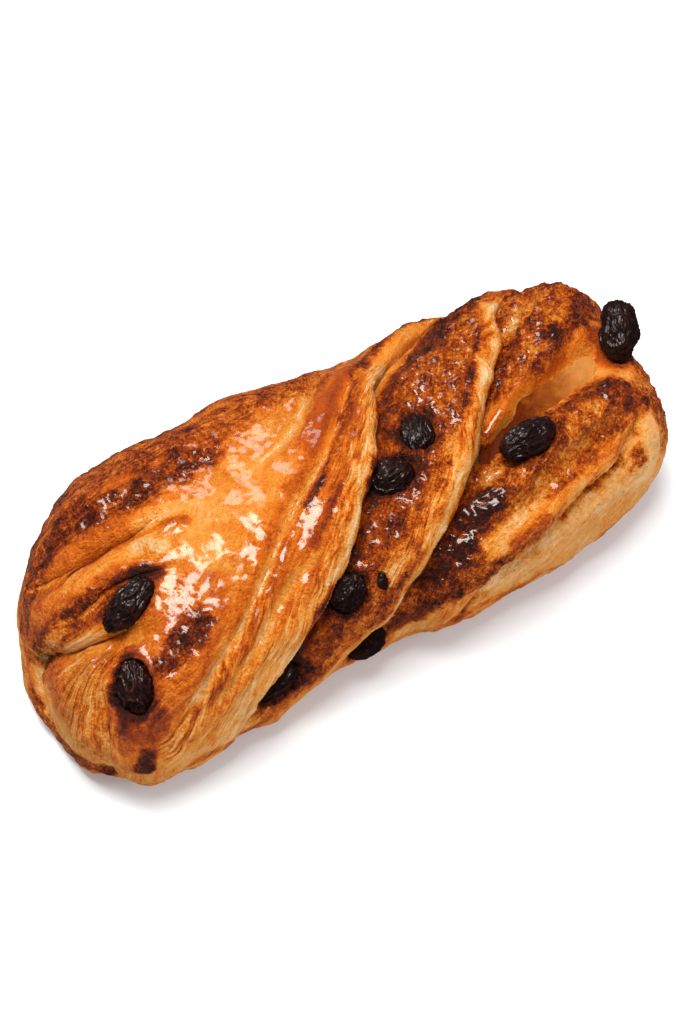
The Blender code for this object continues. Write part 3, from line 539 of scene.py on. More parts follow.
# Brush strokes over the crust: photograph pixels, half width in mm, and the looks wanted there
strokes = {
    "brown top of the back": dict(along=[(310, 385), (262, 395), (210, 425), (150, 452), (95, 480),
        (60, 515)], half=5, tone=0.62, mottle=1, streak=0.7, gloss=0.6),
    "dark ridge": dict(along=[(205, 452), (185, 462), (150, 485), (110, 505), (75, 525), (50, 548),
        (33, 578)], half=3.6, tone=0.78, mottle=1, blister=0.7, gloss=0.8),
    "strip under the ridge": dict(along=[(150, 515), (110, 530), (75, 548), (45, 580)], half=2.2,
        tone=0.44, streak=0.8, gloss=0.6),
    "left rim": dict(along=[(32, 570), (27, 600), (24, 628)], half=2.4, tone=0.67, mottle=1),
    "gold heart of the dome": dict(along=[(262, 462), (235, 505), (205, 555)], half=6.5, tone=0.34,
        mottle=0.3, streak=0.12, blister=0.05, gloss=1),
    "gold top of the dome": dict(along=[(296, 402), (285, 425), (262, 440)], half=3.4, tone=0.34,
        streak=0.2, gloss=1),
    "clean amber": dict(along=[(348, 372), (330, 405), (318, 440)], half=3.6, tone=0.57, mottle=0.1,
        streak=0.2, gloss=0.82),
    "red line by the fold": dict(along=[(398, 334), (374, 350), (362, 366), (350, 396), (341, 425),
        (330, 458), (318, 484), (306, 505)], half=1.2, crisp=1.5, tone=0.76, mottle=0.8),
    "amber low on the dome": dict(along=[(205, 585), (190, 610), (180, 630)], half=4.5, tone=0.5,
        streak=0.2),
    "dark low on the dome": dict(along=[(200, 622), (185, 645), (166, 668)], half=3, tone=0.78, mottle=1,
        blister=0.45, gloss=0.72),
    "pale fork": dict(along=[(218, 515), (190, 508), (160, 512), (138, 520)], half=2.2, tone=0.24,
        gloss=0.5, streak=0.5),
    "pale fork right": dict(along=[(192, 520), (200, 540), (206, 556)], half=2.8, tone=0.27, gloss=0.8),
    "pale fork stem": dict(along=[(176, 528), (164, 552), (160, 580), (150, 612)], half=2, tone=0.36,
        streak=0.6),
    "leaf in the fork": dict(along=[(186, 520), (160, 524)], half=0.9, tone=0.5),
    "flap": dict(along=[(152, 545), (110, 562), (76, 584)], half=2.8, tone=0.27, streak=0.8, gloss=0.4),
    "flap's pale end": dict(along=[(156, 548), (142, 546)], half=2.2, tone=0.1, mottle=0.8, blister=0.7,
        gloss=0.2),
    "edge over the raisin": dict(along=[(160, 572), (140, 571), (122, 578), (104, 594)], half=1.2,
        tone=0.82, gloss=0.6),
    "end fold": dict(along=[(108, 600), (84, 612), (60, 630), (40, 655)], half=3.6, tone=0.59, mottle=1,
        blister=0.8, gloss=0.6),
    "end fold's dark spots": dict(along=[(84, 606), (76, 612)], half=1.3, tone=0.9),
    "end fold's dark foot": dict(along=[(60, 632), (46, 650), (36, 676)], half=1.6, tone=0.32),
    "gap": dict(along=[(118, 628), (95, 640), (72, 650)], half=1.6, tone=0.14, mottle=0.2, gloss=0.3),
    "under the gap": dict(along=[(108, 645), (88, 656), (74, 668)], half=2, tone=0.3, mottle=0.4),
    "end face": dict(along=[(80, 680), (82, 710), (90, 740)], half=5.5, tone=0.3, mottle=0.5, streak=1.5,
        gloss=0.4),
    "end face's low rim": dict(along=[(34, 700), (50, 732), (78, 758), (108, 772)], half=2.6, tone=0.6,
        mottle=1),
    "corner": dict(along=[(106, 655), (104, 690), (110, 730), (120, 770)], half=1.2, tone=0.35,
        streak=1.5),
    "glazed raisin": dict(along=[(128, 668), (132, 700)], half=3, tone=0.8, blister=0.9, gloss=1),
    "round the glazed raisin": dict(along=[(126, 658), (115, 680), (118, 708), (134, 722), (152, 706)],
        half=1.2, tone=0.84, mottle=0.6, gloss=1),
    "amber front": dict(along=[(128, 726), (150, 735), (160, 715)], half=2.8, tone=0.71, gloss=1,
        mottle=0.4),
    "dark spot in front": dict(along=[(150, 756), (142, 770)], half=2.2, tone=0.86, gloss=0.8),
    "streaks in front": dict(along=[(175, 745), (205, 705), (235, 660), (262, 615)], half=3.4, tone=0.4,
        streak=1.7, gloss=0.5),
    "pale side in front": dict(along=[(215, 735), (240, 700), (270, 655), (300, 610)], half=3.6, tone=0.27,
        streak=1.3, gloss=0.3),
    "bottom rim in front": dict(along=[(190, 765), (235, 740), (285, 706)], half=1.2, tone=0.5),
    "brown spots by the lip": dict(along=[(338, 486), (326, 515), (313, 545)], half=1.1, tone=0.68,
        gloss=0.35),
    "orange band by the lip": dict(along=[(362, 372), (348, 420), (338, 455), (330, 490)], half=1.5,
        tone=0.5, streak=0.8, gloss=0.45),
    "lip's pale back": dict(along=[(424, 330), (402, 344), (388, 360)], half=3.4, tone=0.34, mottle=0.25,
        streak=0.3, blister=0, gloss=0.6),
    "dark top of the middle": dict(along=[(470, 302), (450, 316), (434, 334), (426, 350)], half=3.4,
        tone=0.86, mottle=0.9),
    "middle upper": dict(along=[(440, 360), (425, 385), (400, 405)], half=5.5, tone=0.6, gloss=1),
    # Dark crust beside the left lip, with painted shade where the lip hangs over it
    "middle edge, dark crust and painted shade": dict(along=[(424, 350), (398, 374), (384, 398), (380, 440), (372, 480), (364, 520),
        (352, 556)], half=2, crisp=1.4, tone=0.82, mottle=0.6),
    "middle pale spots": dict(along=[(392, 448), (410, 452)], half=1.6, tone=0.55),
    "middle low": dict(along=[(420, 490), (400, 530), (385, 560)], half=3, tone=0.68, mottle=0.8),
    "middle band": dict(along=[(480, 335), (468, 390), (452, 440)], half=1.8, tone=0.66, streak=0.8),
    "middle band low": dict(along=[(452, 440), (430, 495), (405, 545), (375, 590)], half=1.8, tone=0.5,
        streak=1, gloss=0.4),
    "shade under the left lip": dict(along=[(345, 570), (330, 600), (312, 632)], half=1.4, tone=0.86,
        mottle=0.3, gloss=0.4),
    "middle foot": dict(along=[(345, 625), (325, 650), (305, 672)], half=3, tone=0.7, mottle=0.9),
    # Painted shade in the hollow under the left lip
    "painted shade in the cavity": dict(along=[(330, 588), (319, 612), (304, 642), (292, 662)], half=1.2, tone=0.86,
        mottle=0.3),
    "upper roll's back": dict(along=[(482, 300), (505, 290), (530, 288)], half=2.6, tone=0.54),
    "upper roll's pale turn": dict(along=[(540, 292), (524, 310), (512, 328)], half=1.8, tone=0.36),
    "upper roll's dark end": dict(along=[(585, 300), (578, 325)], half=2.8, tone=0.77, mottle=1),
    "upper roll's dark spot": dict(along=[(556, 328), (548, 334)], half=2.2, tone=0.86),
    "upper roll's dark side": dict(along=[(512, 345), (500, 372), (492, 398)], half=2, tone=0.84),
    "upper roll": dict(along=[(545, 350), (530, 368), (520, 385)], half=2.6, tone=0.5),
    "upper roll's foot": dict(along=[(524, 395), (506, 415), (495, 440)], half=3.4, tone=0.34, mottle=0.2,
        streak=0.3, gloss=1, blister=0),
    "groove wall": dict(along=[(600, 352), (582, 366), (560, 382), (545, 396)], half=5, tone=0.41,
        mottle=0.2, streak=0.3, gloss=0.4, blister=0),
    "wall above the cream": dict(along=[(597, 328), (584, 338), (568, 352), (550, 368)], half=1.9,
        crisp=1.4, tone=0.4, mottle=0.3, streak=0.3, gloss=0.3, blister=0),
    # Painted shade under the upper roll's overhang
    "under the upper roll": dict(along=[(560, 362), (543, 380), (535, 398)], half=1.8, tone=0.6,
        mottle=0.2, blister=0),
    # Painted shade in the mouth of the hollow
    "painted shade in the mouth of the hollow": dict(along=[(484, 453), (494, 450), (505, 443)], half=1.5, tone=0.95,
        mottle=0.2, gloss=0.3, blister=0),
    "end of the groove": dict(along=[(610, 372), (628, 372)], half=3, tone=0.27, mottle=0.3, blister=0.1),
    "lower roll's dark end": dict(along=[(606, 388), (626, 396), (645, 414)], half=3.4, crisp=1.3,
        tone=0.82, mottle=0.8),
    "lower roll": dict(along=[(590, 410), (562, 436), (530, 462), (500, 480)], half=3.8, tone=0.51,
        mottle=1, blister=1),
    # Dark crust at the lower roll's foot, with painted shade under the middle strip's edge, here and just
    # below
    "lower roll's foot, dark crust and painted shade": dict(along=[(490, 500), (470, 525), (450, 555), (430, 585)], half=4.2,
        tone=0.92, gloss=0.9),
    "below the dark foot": dict(along=[(455, 590), (425, 610), (400, 622)], half=2.4, tone=0.8),
    "second fold": dict(along=[(626, 442), (600, 466), (565, 496), (530, 520), (495, 545)], half=2.6,
        tone=0.27, mottle=0.5, gloss=0.5, blister=0.3),
    "second fold's blush": dict(along=[(548, 520), (520, 545)], half=1.6, tone=0.52),
    "right end wall": dict(along=[(650, 430), (656, 455), (640, 480)], half=4, tone=0.12, mottle=0.25,
        blister=0.1, streak=0.3),
    "right wall": dict(along=[(625, 485), (580, 520), (540, 552), (500, 578)], half=4.5, tone=0.14,
        mottle=0.35, gloss=0.4),
    "bottom rim at the right": dict(along=[(658, 472), (645, 496), (618, 521), (588, 545)], half=1.1,
        tone=0.5, mottle=1),
    "bottom rim": dict(along=[(560, 566), (530, 580), (490, 600), (455, 622)], half=1, tone=0.48),
    # Painted shade down in the slit over the flap
    "slit": dict(along=[(70, 575), (88, 563), (107, 552)], half=0.45, tone=0.95, gloss=0.2),
    "lip beside the middle": dict(along=[(381, 368), (369, 405), (360, 440), (354, 478), (346, 515),
        (333, 556), (318, 592)], half=1.9, crisp=1.8, tone=0.28, streak=2.1, mottle=0.35, gloss=0.5,
        blister=0.1),
    "middle lip": dict(along=[(488, 335), (484, 368), (472, 420), (456, 470), (436, 515), (410, 553),
        (386, 582)], half=1.8, crisp=1.6, tone=0.24, mottle=0.4, streak=2.1, gloss=0.4, blister=0.1),
}

# Strokes on the side that the photograph doesn't show, as places on the loaf
hiddenStrokes = {
    "back of the left strip": dict(along=[(-20, -58), (-44, -62), (-66, -62)], half=6, tone=0.66,
        mottle=1),
    "dark band on the back": dict(along=[(44, -70), (20, -72), (4, -76)], half=5, tone=0.82, mottle=1,
        blister=0.8),
    "dark spots on the back": dict(along=[(-34, -84), (-52, -94)], half=4, tone=0.84, mottle=1),
    "pale foot of the back": dict(along=[(70, -104), (20, -106), (-30, -108), (-72, -102)], half=5,
        tone=0.28, mottle=0.6),
    "back of the right end": dict(along=[(74, -60), (66, -76)], half=5, tone=0.78, mottle=1),
}

# The tone of the proud places (amount, mm that count as fully proud, rounds of smoothing that they
# are measured against) and of the blisters' tops
browning = dict(proud=(0.15, 0.4, 14), blisters=0.22)

stripSeam = 3.0           # mm over which one strip's looks give way to the next one's
sideFrom = dict(slope=(0.42, 0.5), height=(26, 8))      # where the side begins, each with its fade
strokeStep = 6.0          # pixels between the points of a stroke
strokeEdge = dict(reach=(1.9, 2.0), middle=1.05)        # in half widths, and mm more
fray = [(4.5, 0.55), (1.7, 0.4), (0.8, 0.2)]      # how the strokes' edges break up: size, amount


# A stroke's pixels as points on the dough a little over a millimetre apart
def strokeLine(tree, pixels):
    knots = np.array(pixels, float)
    run = np.concatenate([[0], np.cumsum(np.linalg.norm(np.diff(knots, axis=0), axis=1))])
    even = np.linspace(0, run[-1], max(3, int(run[-1] / strokeStep)))
    x, y = (curveThrough(even, list(zip(run, knots[:, k]))) for k in (0, 1))
    hits = [pixelPlace(tree, pixel) for pixel in zip(x, y)]
    return np.array([hit for hit in hits if hit is not None])


# Bring the fields to the wanted values, as far as the weight says
def mixIn(fields, weight, wanted):
    for name, value in wanted.items():
        fields[name] += weight * (value - fields[name])


# Lay one stroke over the fields, with an uneven edge that is soft unless crisp is above one
def brush(fields, points, ragged, lineOf, along, half, crisp=1.0, **wanted):
    reach, margin = strokeEdge["reach"]
    far = np.abs(measure(points, points, lineOf(along), reach * half + margin)[0])
    mixIn(fields, smooth((strokeEdge["middle"] - far / half - ragged) * crisp + 0.5), wanted)


# Start the fields from the strips, then lay the strokes over them
def paintCrust(points, normals, edges, quads, across, middles, blisters, lip, scorched):
    fields = {name: np.full(len(points), value) for name, value in strips["left"].items()}
    for name, edge in zip(("middle", "right"), middles):
        mixIn(fields, smooth((across - edge) / stripSeam + 0.5), strips[name])
    slope, slopeFade = sideFrom["slope"]
    height, heightFade = sideFrom["height"]
    steep = smooth((slope - normals[:, 2]) / slopeFade)
    mixIn(fields, steep * smooth((height - points[:, 2]) / heightFade), strips["side"])
    mixIn(fields, lip, strips["lip"])
    ragged = sum(amount * grain(points, size, seedOf["fray"] + size) for size, amount in fray)
    tree = BVHTree.FromPolygons(points.tolist(), quads.tolist())
    for values in strokes.values():
        brush(fields, points, ragged, lambda pixels: strokeLine(tree, pixels), **values)
    for values in hiddenStrokes.values():
        brush(fields, points, ragged, track, **values)
    amount, fullyProud, rounds = browning["proud"]
    proud = np.einsum("ij,ij->i", points - relaxed(points, edges, rounds), normals)
    baked = amount * np.clip(proud / fullyProud, -1, 1) * (1 - lip)
    fields["tone"] += baked + raisinBed["scorch"] * scorched
    fields["tone"] += browning["blisters"] * fields["blister"] * blisters
    fields["gloss"] *= 1 - raisinBed["dull"] * scorched
    return fields


# Relief in mm: (size, depth), for the streaks (width, length, depth) and for the layers (thickness,
# depth, level). calm is what is left of ripple and fine where nothing is mottled, bubbleLevel is
# taken from the bubbles, and below foot the relief dies out
reliefOf = dict(blister=(2.8, 1.1), pimple=(1.2, 0.5), streak=(1.4, 9.0, 0.32), layer=(1.5, 0.16, 0.6),
                swell=(6.0, 0.6), ripple=(2.2, 0.42), fine=(1.1, 0.14), calm=0.12, bubbleLevel=0.45,
                foot=1.5)

seedOf = dict(fray=3.0, bubbles=4.0, relief=7.0, edge=11.0, fibres=13.0)


# Fine relief: blisters, streaks along the strips, the layers in the pale faces, soft unevenness
def relief(points, fields, across, alongStrips, blisters, lip):
    way = np.stack([across, alongStrips, 0 * across], 1)
    height = fields["blister"] * blisters
    width, length, depth = reliefOf["streak"]
    height += fields["streak"] * depth * grain(way / (width, length, 1), 1)
    thickness, depth, level = reliefOf["layer"]
    height += lip * depth * (np.abs(np.sin(math.pi * across / thickness)) - level)
    size, depth = reliefOf["swell"]
    height += depth * grain(points, size, seedOf["relief"])
    unrest = reliefOf["calm"] + (1 - reliefOf["calm"]) * fields["mottle"] ** 2
    for size, depth in (reliefOf["ripple"], reliefOf["fine"]):
        height += depth * grain(points, size, seedOf["relief"]) * unrest
    return height * smooth(points[:, 2] / reliefOf["foot"])


def setFields(mesh, **fields):
    for name, values in fields.items():
        attribute = mesh.attributes.new(name, "FLOAT", "POINT")
        attribute.data.foreach_set("value", values.astype(np.float32))
    return mesh


def ballMesh(ball, name, **fields):
    mesh = bpy.data.meshes.new(name)
    ball.to_mesh(mesh)
    ball.free()
    return setFields(mesh, **fields)


def addObject(name, data):
    added = bpy.data.objects.new(name, data)
    bpy.context.scene.collection.objects.link(added)
    return added


def addPiece(name, mesh, material, node):
    piece = addObject(name, mesh)
    mesh.materials.append(material)
    mesh.shade_smooth()
    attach(piece, "root")
    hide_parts(node)
    return piece


def makeDough():
    along, turn, quads, tips = loafGrid()
    points, normals = loafPoint(along, turn), loafNormal(along, turn)
    normals[0], normals[-1] = (-1, 0, 0), (1, 0, 0)
    wander = sum(depth * grain(points, size, seedOf["edge"]) for size, depth in wornEdge)
    folded, marks = fold(points, normals, wander)
    guides = marks["guides"] + [
        measure(points, normals, track(creases[name]["path"]), guideReach)[0] for name in streakGuides]
    across, middles = acrossStrips(along + pitch * turn, guides)
    across += sum(depth * grain(points, size, seedOf["fibres"]) for size, depth in waver)
    alongStrips = pitch * turn - lengthShare * along
    padded = np.concatenate([quads, np.column_stack([tips, tips[:, 2]])])
    edges = np.concatenate([quads[:, (0, 1)], quads[:, (1, 2)], tips[:, (0, 1)]])
    scorched = np.zeros(len(folded))
    for values in raisins.values():
        centre, axes = raisinPlace(**{key: values[key] for key in values if key not in ("size", "crusted")})
        out = vertexNormals(folded, padded)
        folded = pressBed(folded, out, scorched, centre, axes, raisinRadii(values["size"]))
    out = vertexNormals(folded, padded)
    blisters = sum(depth * (bubbles(folded, size, seedOf["bubbles"] / size) - reliefOf["bubbleLevel"])
                   for size, depth in (reliefOf["blister"], reliefOf["pimple"]))
    fields = paintCrust(folded, out, edges, padded, across, middles, blisters, marks["lip"], scorched)
    shaped = folded + out * relief(folded, fields, across, alongStrips, blisters, marks["lip"])[:, None]
    shaped[:, 2] = np.maximum(shaped[:, 2], 0)
    mesh = bpy.data.meshes.new("dough")
    mesh.from_pydata((shaped * mm).tolist(), [], quads.tolist() + tips.tolist())
    shown = {name: fields[name] for name in ("tone", "mottle", "streak", "gloss")}
    return setFields(mesh, **shown, across=across, alongStrips=alongStrips)


# A long ball, plump or sunken in places, with thin ridges along its length like dried fruit
def raisinMesh(name, seed, size, crusted=0.0, **place):
    radii = raisinRadii(size)
    centre, axes = raisinPlace(**place)
    ball = bmesh.new()
    bmesh.ops.create_icosphere(ball, subdivisions=raisinSkin["detail"], radius=1)
    unit = np.array([vertex.co[:] for vertex in ball.verts])
    shift = seed * np.array(raisinSkin["seedShift"])
    scale, depth = raisinSkin["plump"]
    shape = unit * radii
    plump = grain(shape + shift * scale, scale)
    shape *= (1 - depth * (0.5 + plump))[:, None]
    small = min(1, radii[0] / raisinSkin["fullFrom"])
    stretched = shape * (raisinSkin["lengthwise"], 1, 1) + shift
    ridge = np.zeros(len(shape))
    height = np.zeros(len(shape))
    for scale, depth in raisinSkin["ridges"]:
        wrinkle = np.abs(grain(stretched + raisinSkin["ridgeShift"] * scale, scale))
        sharp = np.clip(1 - wrinkle * raisinSkin["sharpness"], 0, 1)
        height += depth * small * (sharp - raisinSkin["level"])
        ridge = np.maximum(ridge, sharp)
    scale, depth = raisinSkin["crinkle"]
    height += depth * small * grain(shape + shift, scale)
    shape += unit * height[:, None]
    for vertex, point in zip(ball.verts, (centre + shape @ axes.T) * mm):
        vertex.co = point
    return ballMesh(ball, name, ridge=ridge, crusted=np.full(len(ridge), crusted))


# The path is in places on the loaf, and the half height, the lift and the ripples (size, depth) in mm.
# overrun says how sharply the ends push 1 mm past the path
custard = dict(path=[(29, 27), (38, 23), (47, 18), (56, 15), (62, 13.5), (68, 12)],
               halfWidth=(3.8, 4.2, 4.6, 4.6, 3.8), halfHeight=2.4, lift=0.2, sag=0.25, meniscus=0.5,
               bluntness=4, overrun=5, rings=160, segments=64,
               ripples=[(5.0, 0.4), (1.8, 0.22), (0.8, 0.07)])


# Pastry cream that lies along the hollow, sunken in the middle, with soft ripples on top
def custardMesh():
    places = [foldedPlace(at) for at in custard["path"]]
    last = len(places) - 1
    ball = bmesh.new()
    bmesh.ops.create_uvsphere(ball, u_segments=custard["segments"], v_segments=custard["rings"], radius=1)
    outward = np.array([0.5 + 0.5 * vertex.co.z for vertex in ball.verts])
    for vertex in ball.verts:
        x, y, z = vertex.co
        share = 0.5 + 0.5 * z
        spot = min(share * last, last - 0.001)
        k = int(spot)
        (point, normal), (later, laterNormal) = places[k], places[k + 1]
        centre = point.lerp(later, spot - k)
        out = normal.lerp(laterNormal, spot - k).normalized()
        forward = (later - point).normalized()
        side = out.cross(forward).normalized()
        wide = float(spread(custard["halfWidth"], share))
        girth = max(0.0, 1 - z ** custard["bluntness"]) ** 0.5 / max(1e-6, math.hypot(x, y))
        place = centre + forward * z ** custard["overrun"] + side * x * girth * wide
        high = y * girth * custard["halfHeight"] * (custard["sag"] if y > 0 else 1)
        high += custard["meniscus"] * custard["halfHeight"] * (x * girth) ** 2 + custard["lift"]
        high += sum(depth * noise.noise(place / size) for size, depth in custard["ripples"])
        vertex.co = (place + out * high) * mm
    return ballMesh(ball, "custard", outward=outward)


def addNode(tree, kind, **settings):
    node = tree.nodes.new(kind)
    for name, value in settings.items():
        setattr(node, name, value)
    return node


def feed(tree, entry, source):
    if isinstance(source, (int, float, tuple)):
        entry.default_value = source
    else:
        tree.links.new(source, entry)


def calculate(tree, operation, first, second=0.0, clamp=False):
    node = addNode(tree, "ShaderNodeMath", operation=operation, use_clamp=clamp)
    feed(tree, node.inputs[0], first)
    feed(tree, node.inputs[1], second)
    return node.outputs[0]


def plus(tree, first, second):
    return calculate(tree, "ADD", first, second)


def times(tree, first, second, clamp=False):
    return calculate(tree, "MULTIPLY", first, second, clamp)


# A value moved from one range to another
def remap(tree, value, fromLow, fromHigh, toLow, toHigh):
    node = addNode(tree, "ShaderNodeMapRange")
    for entry, source in zip(node.inputs, (value, fromLow, fromHigh, toLow, toHigh)):
        feed(tree, entry, source)
    return node.outputs[0]


def newGroup(name, inputs, output):
    group = bpy.data.node_groups.new(name, "ShaderNodeTree")
    for given, value in inputs.items():
        entry = group.interface.new_socket(given, in_out="INPUT", socket_type="NodeSocketFloat")
        entry.default_value = value
    group.interface.new_socket(output, in_out="OUTPUT", socket_type="NodeSocketFloat")
    return group, addNode(group, "NodeGroupInput").outputs, addNode(group, "NodeGroupOutput").inputs[0]


# The group's only output
def useGroup(tree, group, **inputs):
    node = addNode(tree, "ShaderNodeGroup", node_tree=group)
    for name, source in inputs.items():
        feed(tree, node.inputs[name], source)
    return node.outputs[0]


# Blotches of a size in mm, from minus the amount to plus the amount
def blotchGroup():
    group, given, result = newGroup("blotches", dict(Size=3.0, Amount=0.1, Detail=4.0, Seed=0.0), "Value")
    coarseness, contrast = 0.62, 4.0
    texture = addNode(group, "ShaderNodeTexNoise", noise_dimensions="4D")
    feed(group, texture.inputs["Vector"], addNode(group, "ShaderNodeTexCoord").outputs["Object"])
    feed(group, texture.inputs["W"], given["Seed"])
    feed(group, texture.inputs["Scale"], calculate(group, "DIVIDE", 1 / mm, given["Size"]))
    feed(group, texture.inputs["Detail"], given["Detail"])
    feed(group, texture.inputs["Roughness"], coarseness)
    centred = times(group, calculate(group, "SUBTRACT", texture.outputs["Fac"], 0.5), contrast)
    feed(group, result, times(group, centred, given["Amount"]))
    return group


# Lines that run along the strips, from -1 to 1: the width and the length of a line in mm
def streakGroup():
    group, given, result = newGroup("streaks", dict(Across=0.0, Along=0.0, Width=0.5, Length=9.0), "Value")
    low, high = 0.3, 0.7                  # nearly all of the noise lies between these
    place = addNode(group, "ShaderNodeCombineXYZ")
    feed(group, place.inputs["X"], calculate(group, "DIVIDE", given["Across"], given["Width"]))
    feed(group, place.inputs["Y"], calculate(group, "DIVIDE", given["Along"], given["Length"]))
    texture = addNode(group, "ShaderNodeTexNoise")
    feed(group, texture.inputs["Vector"], place.outputs["Vector"])
    feed(group, texture.inputs["Scale"], 1.0)
    feed(group, texture.inputs["Detail"], 3.0)
    feed(group, result, remap(group, texture.outputs["Fac"], low, high, -1.0, 1.0))
    return group


# A film of glaze that is broken in places: 1 where it is wet and 0 where it is dry
def filmGroup(blotches):
    group, given, result = newGroup("broken film", dict(Gloss=1.0, Size=5.0, Breaks=0.5), "Wet")
    dryBelow, wetAbove = 0.7, 0.88
    patch = useGroup(group, blotches, Size=given["Size"], Amount=given["Breaks"], Detail=5.0, Seed=8.0)
    feed(group, result, remap(group, plus(group, given["Gloss"], patch), dryBelow, wetAbove, 0.0, 1.0))
    return group


def newMaterial(name, fixed):
    material = bpy.data.materials.new(name)
    material.use_nodes = True
    tree = material.node_tree
    shader = tree.nodes["Principled BSDF"]
    for entry, value in fixed.items():
        shader.inputs[entry].default_value = value
    return material, tree, shader


def field(tree, name):
    return addNode(tree, "ShaderNodeAttribute", attribute_name=name).outputs["Fac"]


def colourRamp(tree, value, stops):
    ramp = addNode(tree, "ShaderNodeValToRGB")
    elements = ramp.color_ramp.elements
    while len(elements) < len(stops):
        elements.new(0.5)
    for element, (position, colour) in zip(elements, stops):
        element.position = position
        element.color = (*colour, 1)
    feed(tree, ramp.inputs["Fac"], value)
    return ramp.outputs["Color"]


def bumped(tree, shader, height):
    bump = addNode(tree, "ShaderNodeBump")
    bump.inputs["Distance"].default_value = mm
    feed(tree, bump.inputs["Height"], height)
    feed(tree, shader.inputs["Normal"], bump.outputs["Normal"])


# Blotches of a (size in mm, amount)
def blotched(tree, groups, sizeAndAmount, seed, detail=4.0):
    size, amount = sizeAndAmount
    return useGroup(tree, groups["blotches"], Size=size, Amount=amount, Detail=detail, Seed=float(seed))


bakedColours = [          # tone, linear colour
    (0.00, (0.93, 0.61, 0.32)), (0.14, (0.88, 0.43, 0.14)), (0.30, (0.83, 0.30, 0.036)),
    (0.45, (0.72, 0.16, 0.005)), (0.60, (0.46, 0.072, 0.002)), (0.75, (0.24, 0.030, 0.004)),
    (0.88, (0.105, 0.015, 0.005)), (1.00, (0.042, 0.009, 0.006))]

# Sizes are in mm, with an amount of tone or a depth in mm; lines are (width, length, amount) and
# roughness is (dry, wet). fixed holds what is the same all over
crustFinish = dict(
    blotches=[(9.0, 0.16), (2.8, 0.22), (0.9, 0.26), (0.35, 0.25)],
    lines=[(0.3, 3.0, 0.08), (0.8, 7.0, 0.12), (2.2, 16.0, 0.12)],
    film=(2.8, 0.9), roughness=(0.5, 0.2), grain=(0.3, 0.16), pits=(0.8, 0.6), smoothest=0.3,
    lineDepth=0.55,
    fixed={"Specular IOR Level": 0.2, "Coat Roughness": 0.13, "Coat IOR": 1.5, "Subsurface Weight": 0.08,
           "Subsurface Radius": (1.0, 0.4, 0.15), "Subsurface Scale": 1.5 * mm})


def crustMaterial(groups):
    material, tree, shader = newMaterial("crust", crustFinish["fixed"])
    tone, mottle, gloss, streak = (field(tree, name) for name in ("tone", "mottle", "gloss", "streak"))
    drawn = 0.0
    for width, length, amount in crustFinish["lines"]:
        lines = useGroup(tree, groups["streaks"], Across=field(tree, "across"),
                         Along=field(tree, "alongStrips"), Width=width, Length=length)
        drawn = plus(tree, drawn, times(tree, lines, amount))
    total = plus(tree, tone, times(tree, drawn, streak))
    for seed, sizeAndAmount in enumerate(crustFinish["blotches"]):
        total = plus(tree, total, times(tree, blotched(tree, groups, sizeAndAmount, seed), mottle))
    feed(tree, shader.inputs["Base Color"], colourRamp(tree, total, bakedColours))
    size, breaks = crustFinish["film"]
    wet = useGroup(tree, groups["film"], Gloss=gloss, Size=size, Breaks=breaks)
    feed(tree, shader.inputs["Coat Weight"], times(tree, wet, gloss, clamp=True))
    feed(tree, shader.inputs["Roughness"], remap(tree, wet, 0.0, 1.0, *crustFinish["roughness"]))
    pits = blotched(tree, groups, crustFinish["pits"], seed=4, detail=3.0)
    rough = times(tree, pits, plus(tree, mottle, crustFinish["smoothest"]))
    carved = times(tree, drawn, plus(tree, streak, crustFinish["smoothest"]))
    height = plus(tree, blotched(tree, groups, crustFinish["grain"], seed=3, detail=3.0), rough)
    bumped(tree, shader, plus(tree, height, times(tree, carved, crustFinish["lineDepth"])))
    return material


# Colours run from the smooth skin over the ridges to the crusted raisin; the lighter, redder ridges are
# partly the thin skin's own colour and partly painted highlight
raisinFinish = dict(
    colours=[(0.25, (0.006, 0.002, 0.002)), (0.95, (0.024, 0.006, 0.005)), (1.0, (0.12, 0.02, 0.007))],
    ridgeShare=0.8, blotches=(1.4, 0.3), grain=(0.3, 0.06),
    fixed={"Roughness": 0.36, "Coat Weight": 0.36, "Coat Roughness": 0.07, "Specular IOR Level": 0.1})


def raisinMaterial(groups):
    material, tree, shader = newMaterial("raisin skin", raisinFinish["fixed"])
    blotch = blotched(tree, groups, raisinFinish["blotches"], seed=5)
    # The ridges are lifted towards the lighter colour: partly thin skin, partly painted highlight
    value = plus(tree, times(tree, field(tree, "ridge"), raisinFinish["ridgeShare"]), blotch)
    value = plus(tree, value, field(tree, "crusted"))
    feed(tree, shader.inputs["Base Color"], colourRamp(tree, value, raisinFinish["colours"]))
    bumped(tree, shader, blotched(tree, groups, raisinFinish["grain"], seed=6, detail=3.0))
    return material


# Colours run from the inner end of the hollow, deep amber darkened by painted shade under the upper roll,
# to the open end
custardFinish = dict(
    colours=[(0.35, (0.1, 0.013, 0.0006)), (0.6, (0.26, 0.064, 0.0065)), (0.92, (0.45, 0.182, 0.04))],
    blotches=(3.0, 0.14), grain=(1.0, 0.1),
    fixed={"Roughness": 0.55, "Specular IOR Level": 0.05, "Subsurface Weight": 0.2,
           "Subsurface Radius": (1.0, 0.5, 0.2), "Subsurface Scale": 1.6 * mm})


def custardMaterial(groups):
    material, tree, shader = newMaterial("pastry cream", custardFinish["fixed"])
    # outward runs from the inner end to the open end, so the painted shade darkens the inner end
    value = plus(tree, blotched(tree, groups, custardFinish["blotches"], seed=9), field(tree, "outward"))
    feed(tree, shader.inputs["Base Color"], colourRamp(tree, value, custardFinish["colours"]))
    bumped(tree, shader, blotched(tree, groups, custardFinish["grain"], seed=2, detail=2.0))
    return material


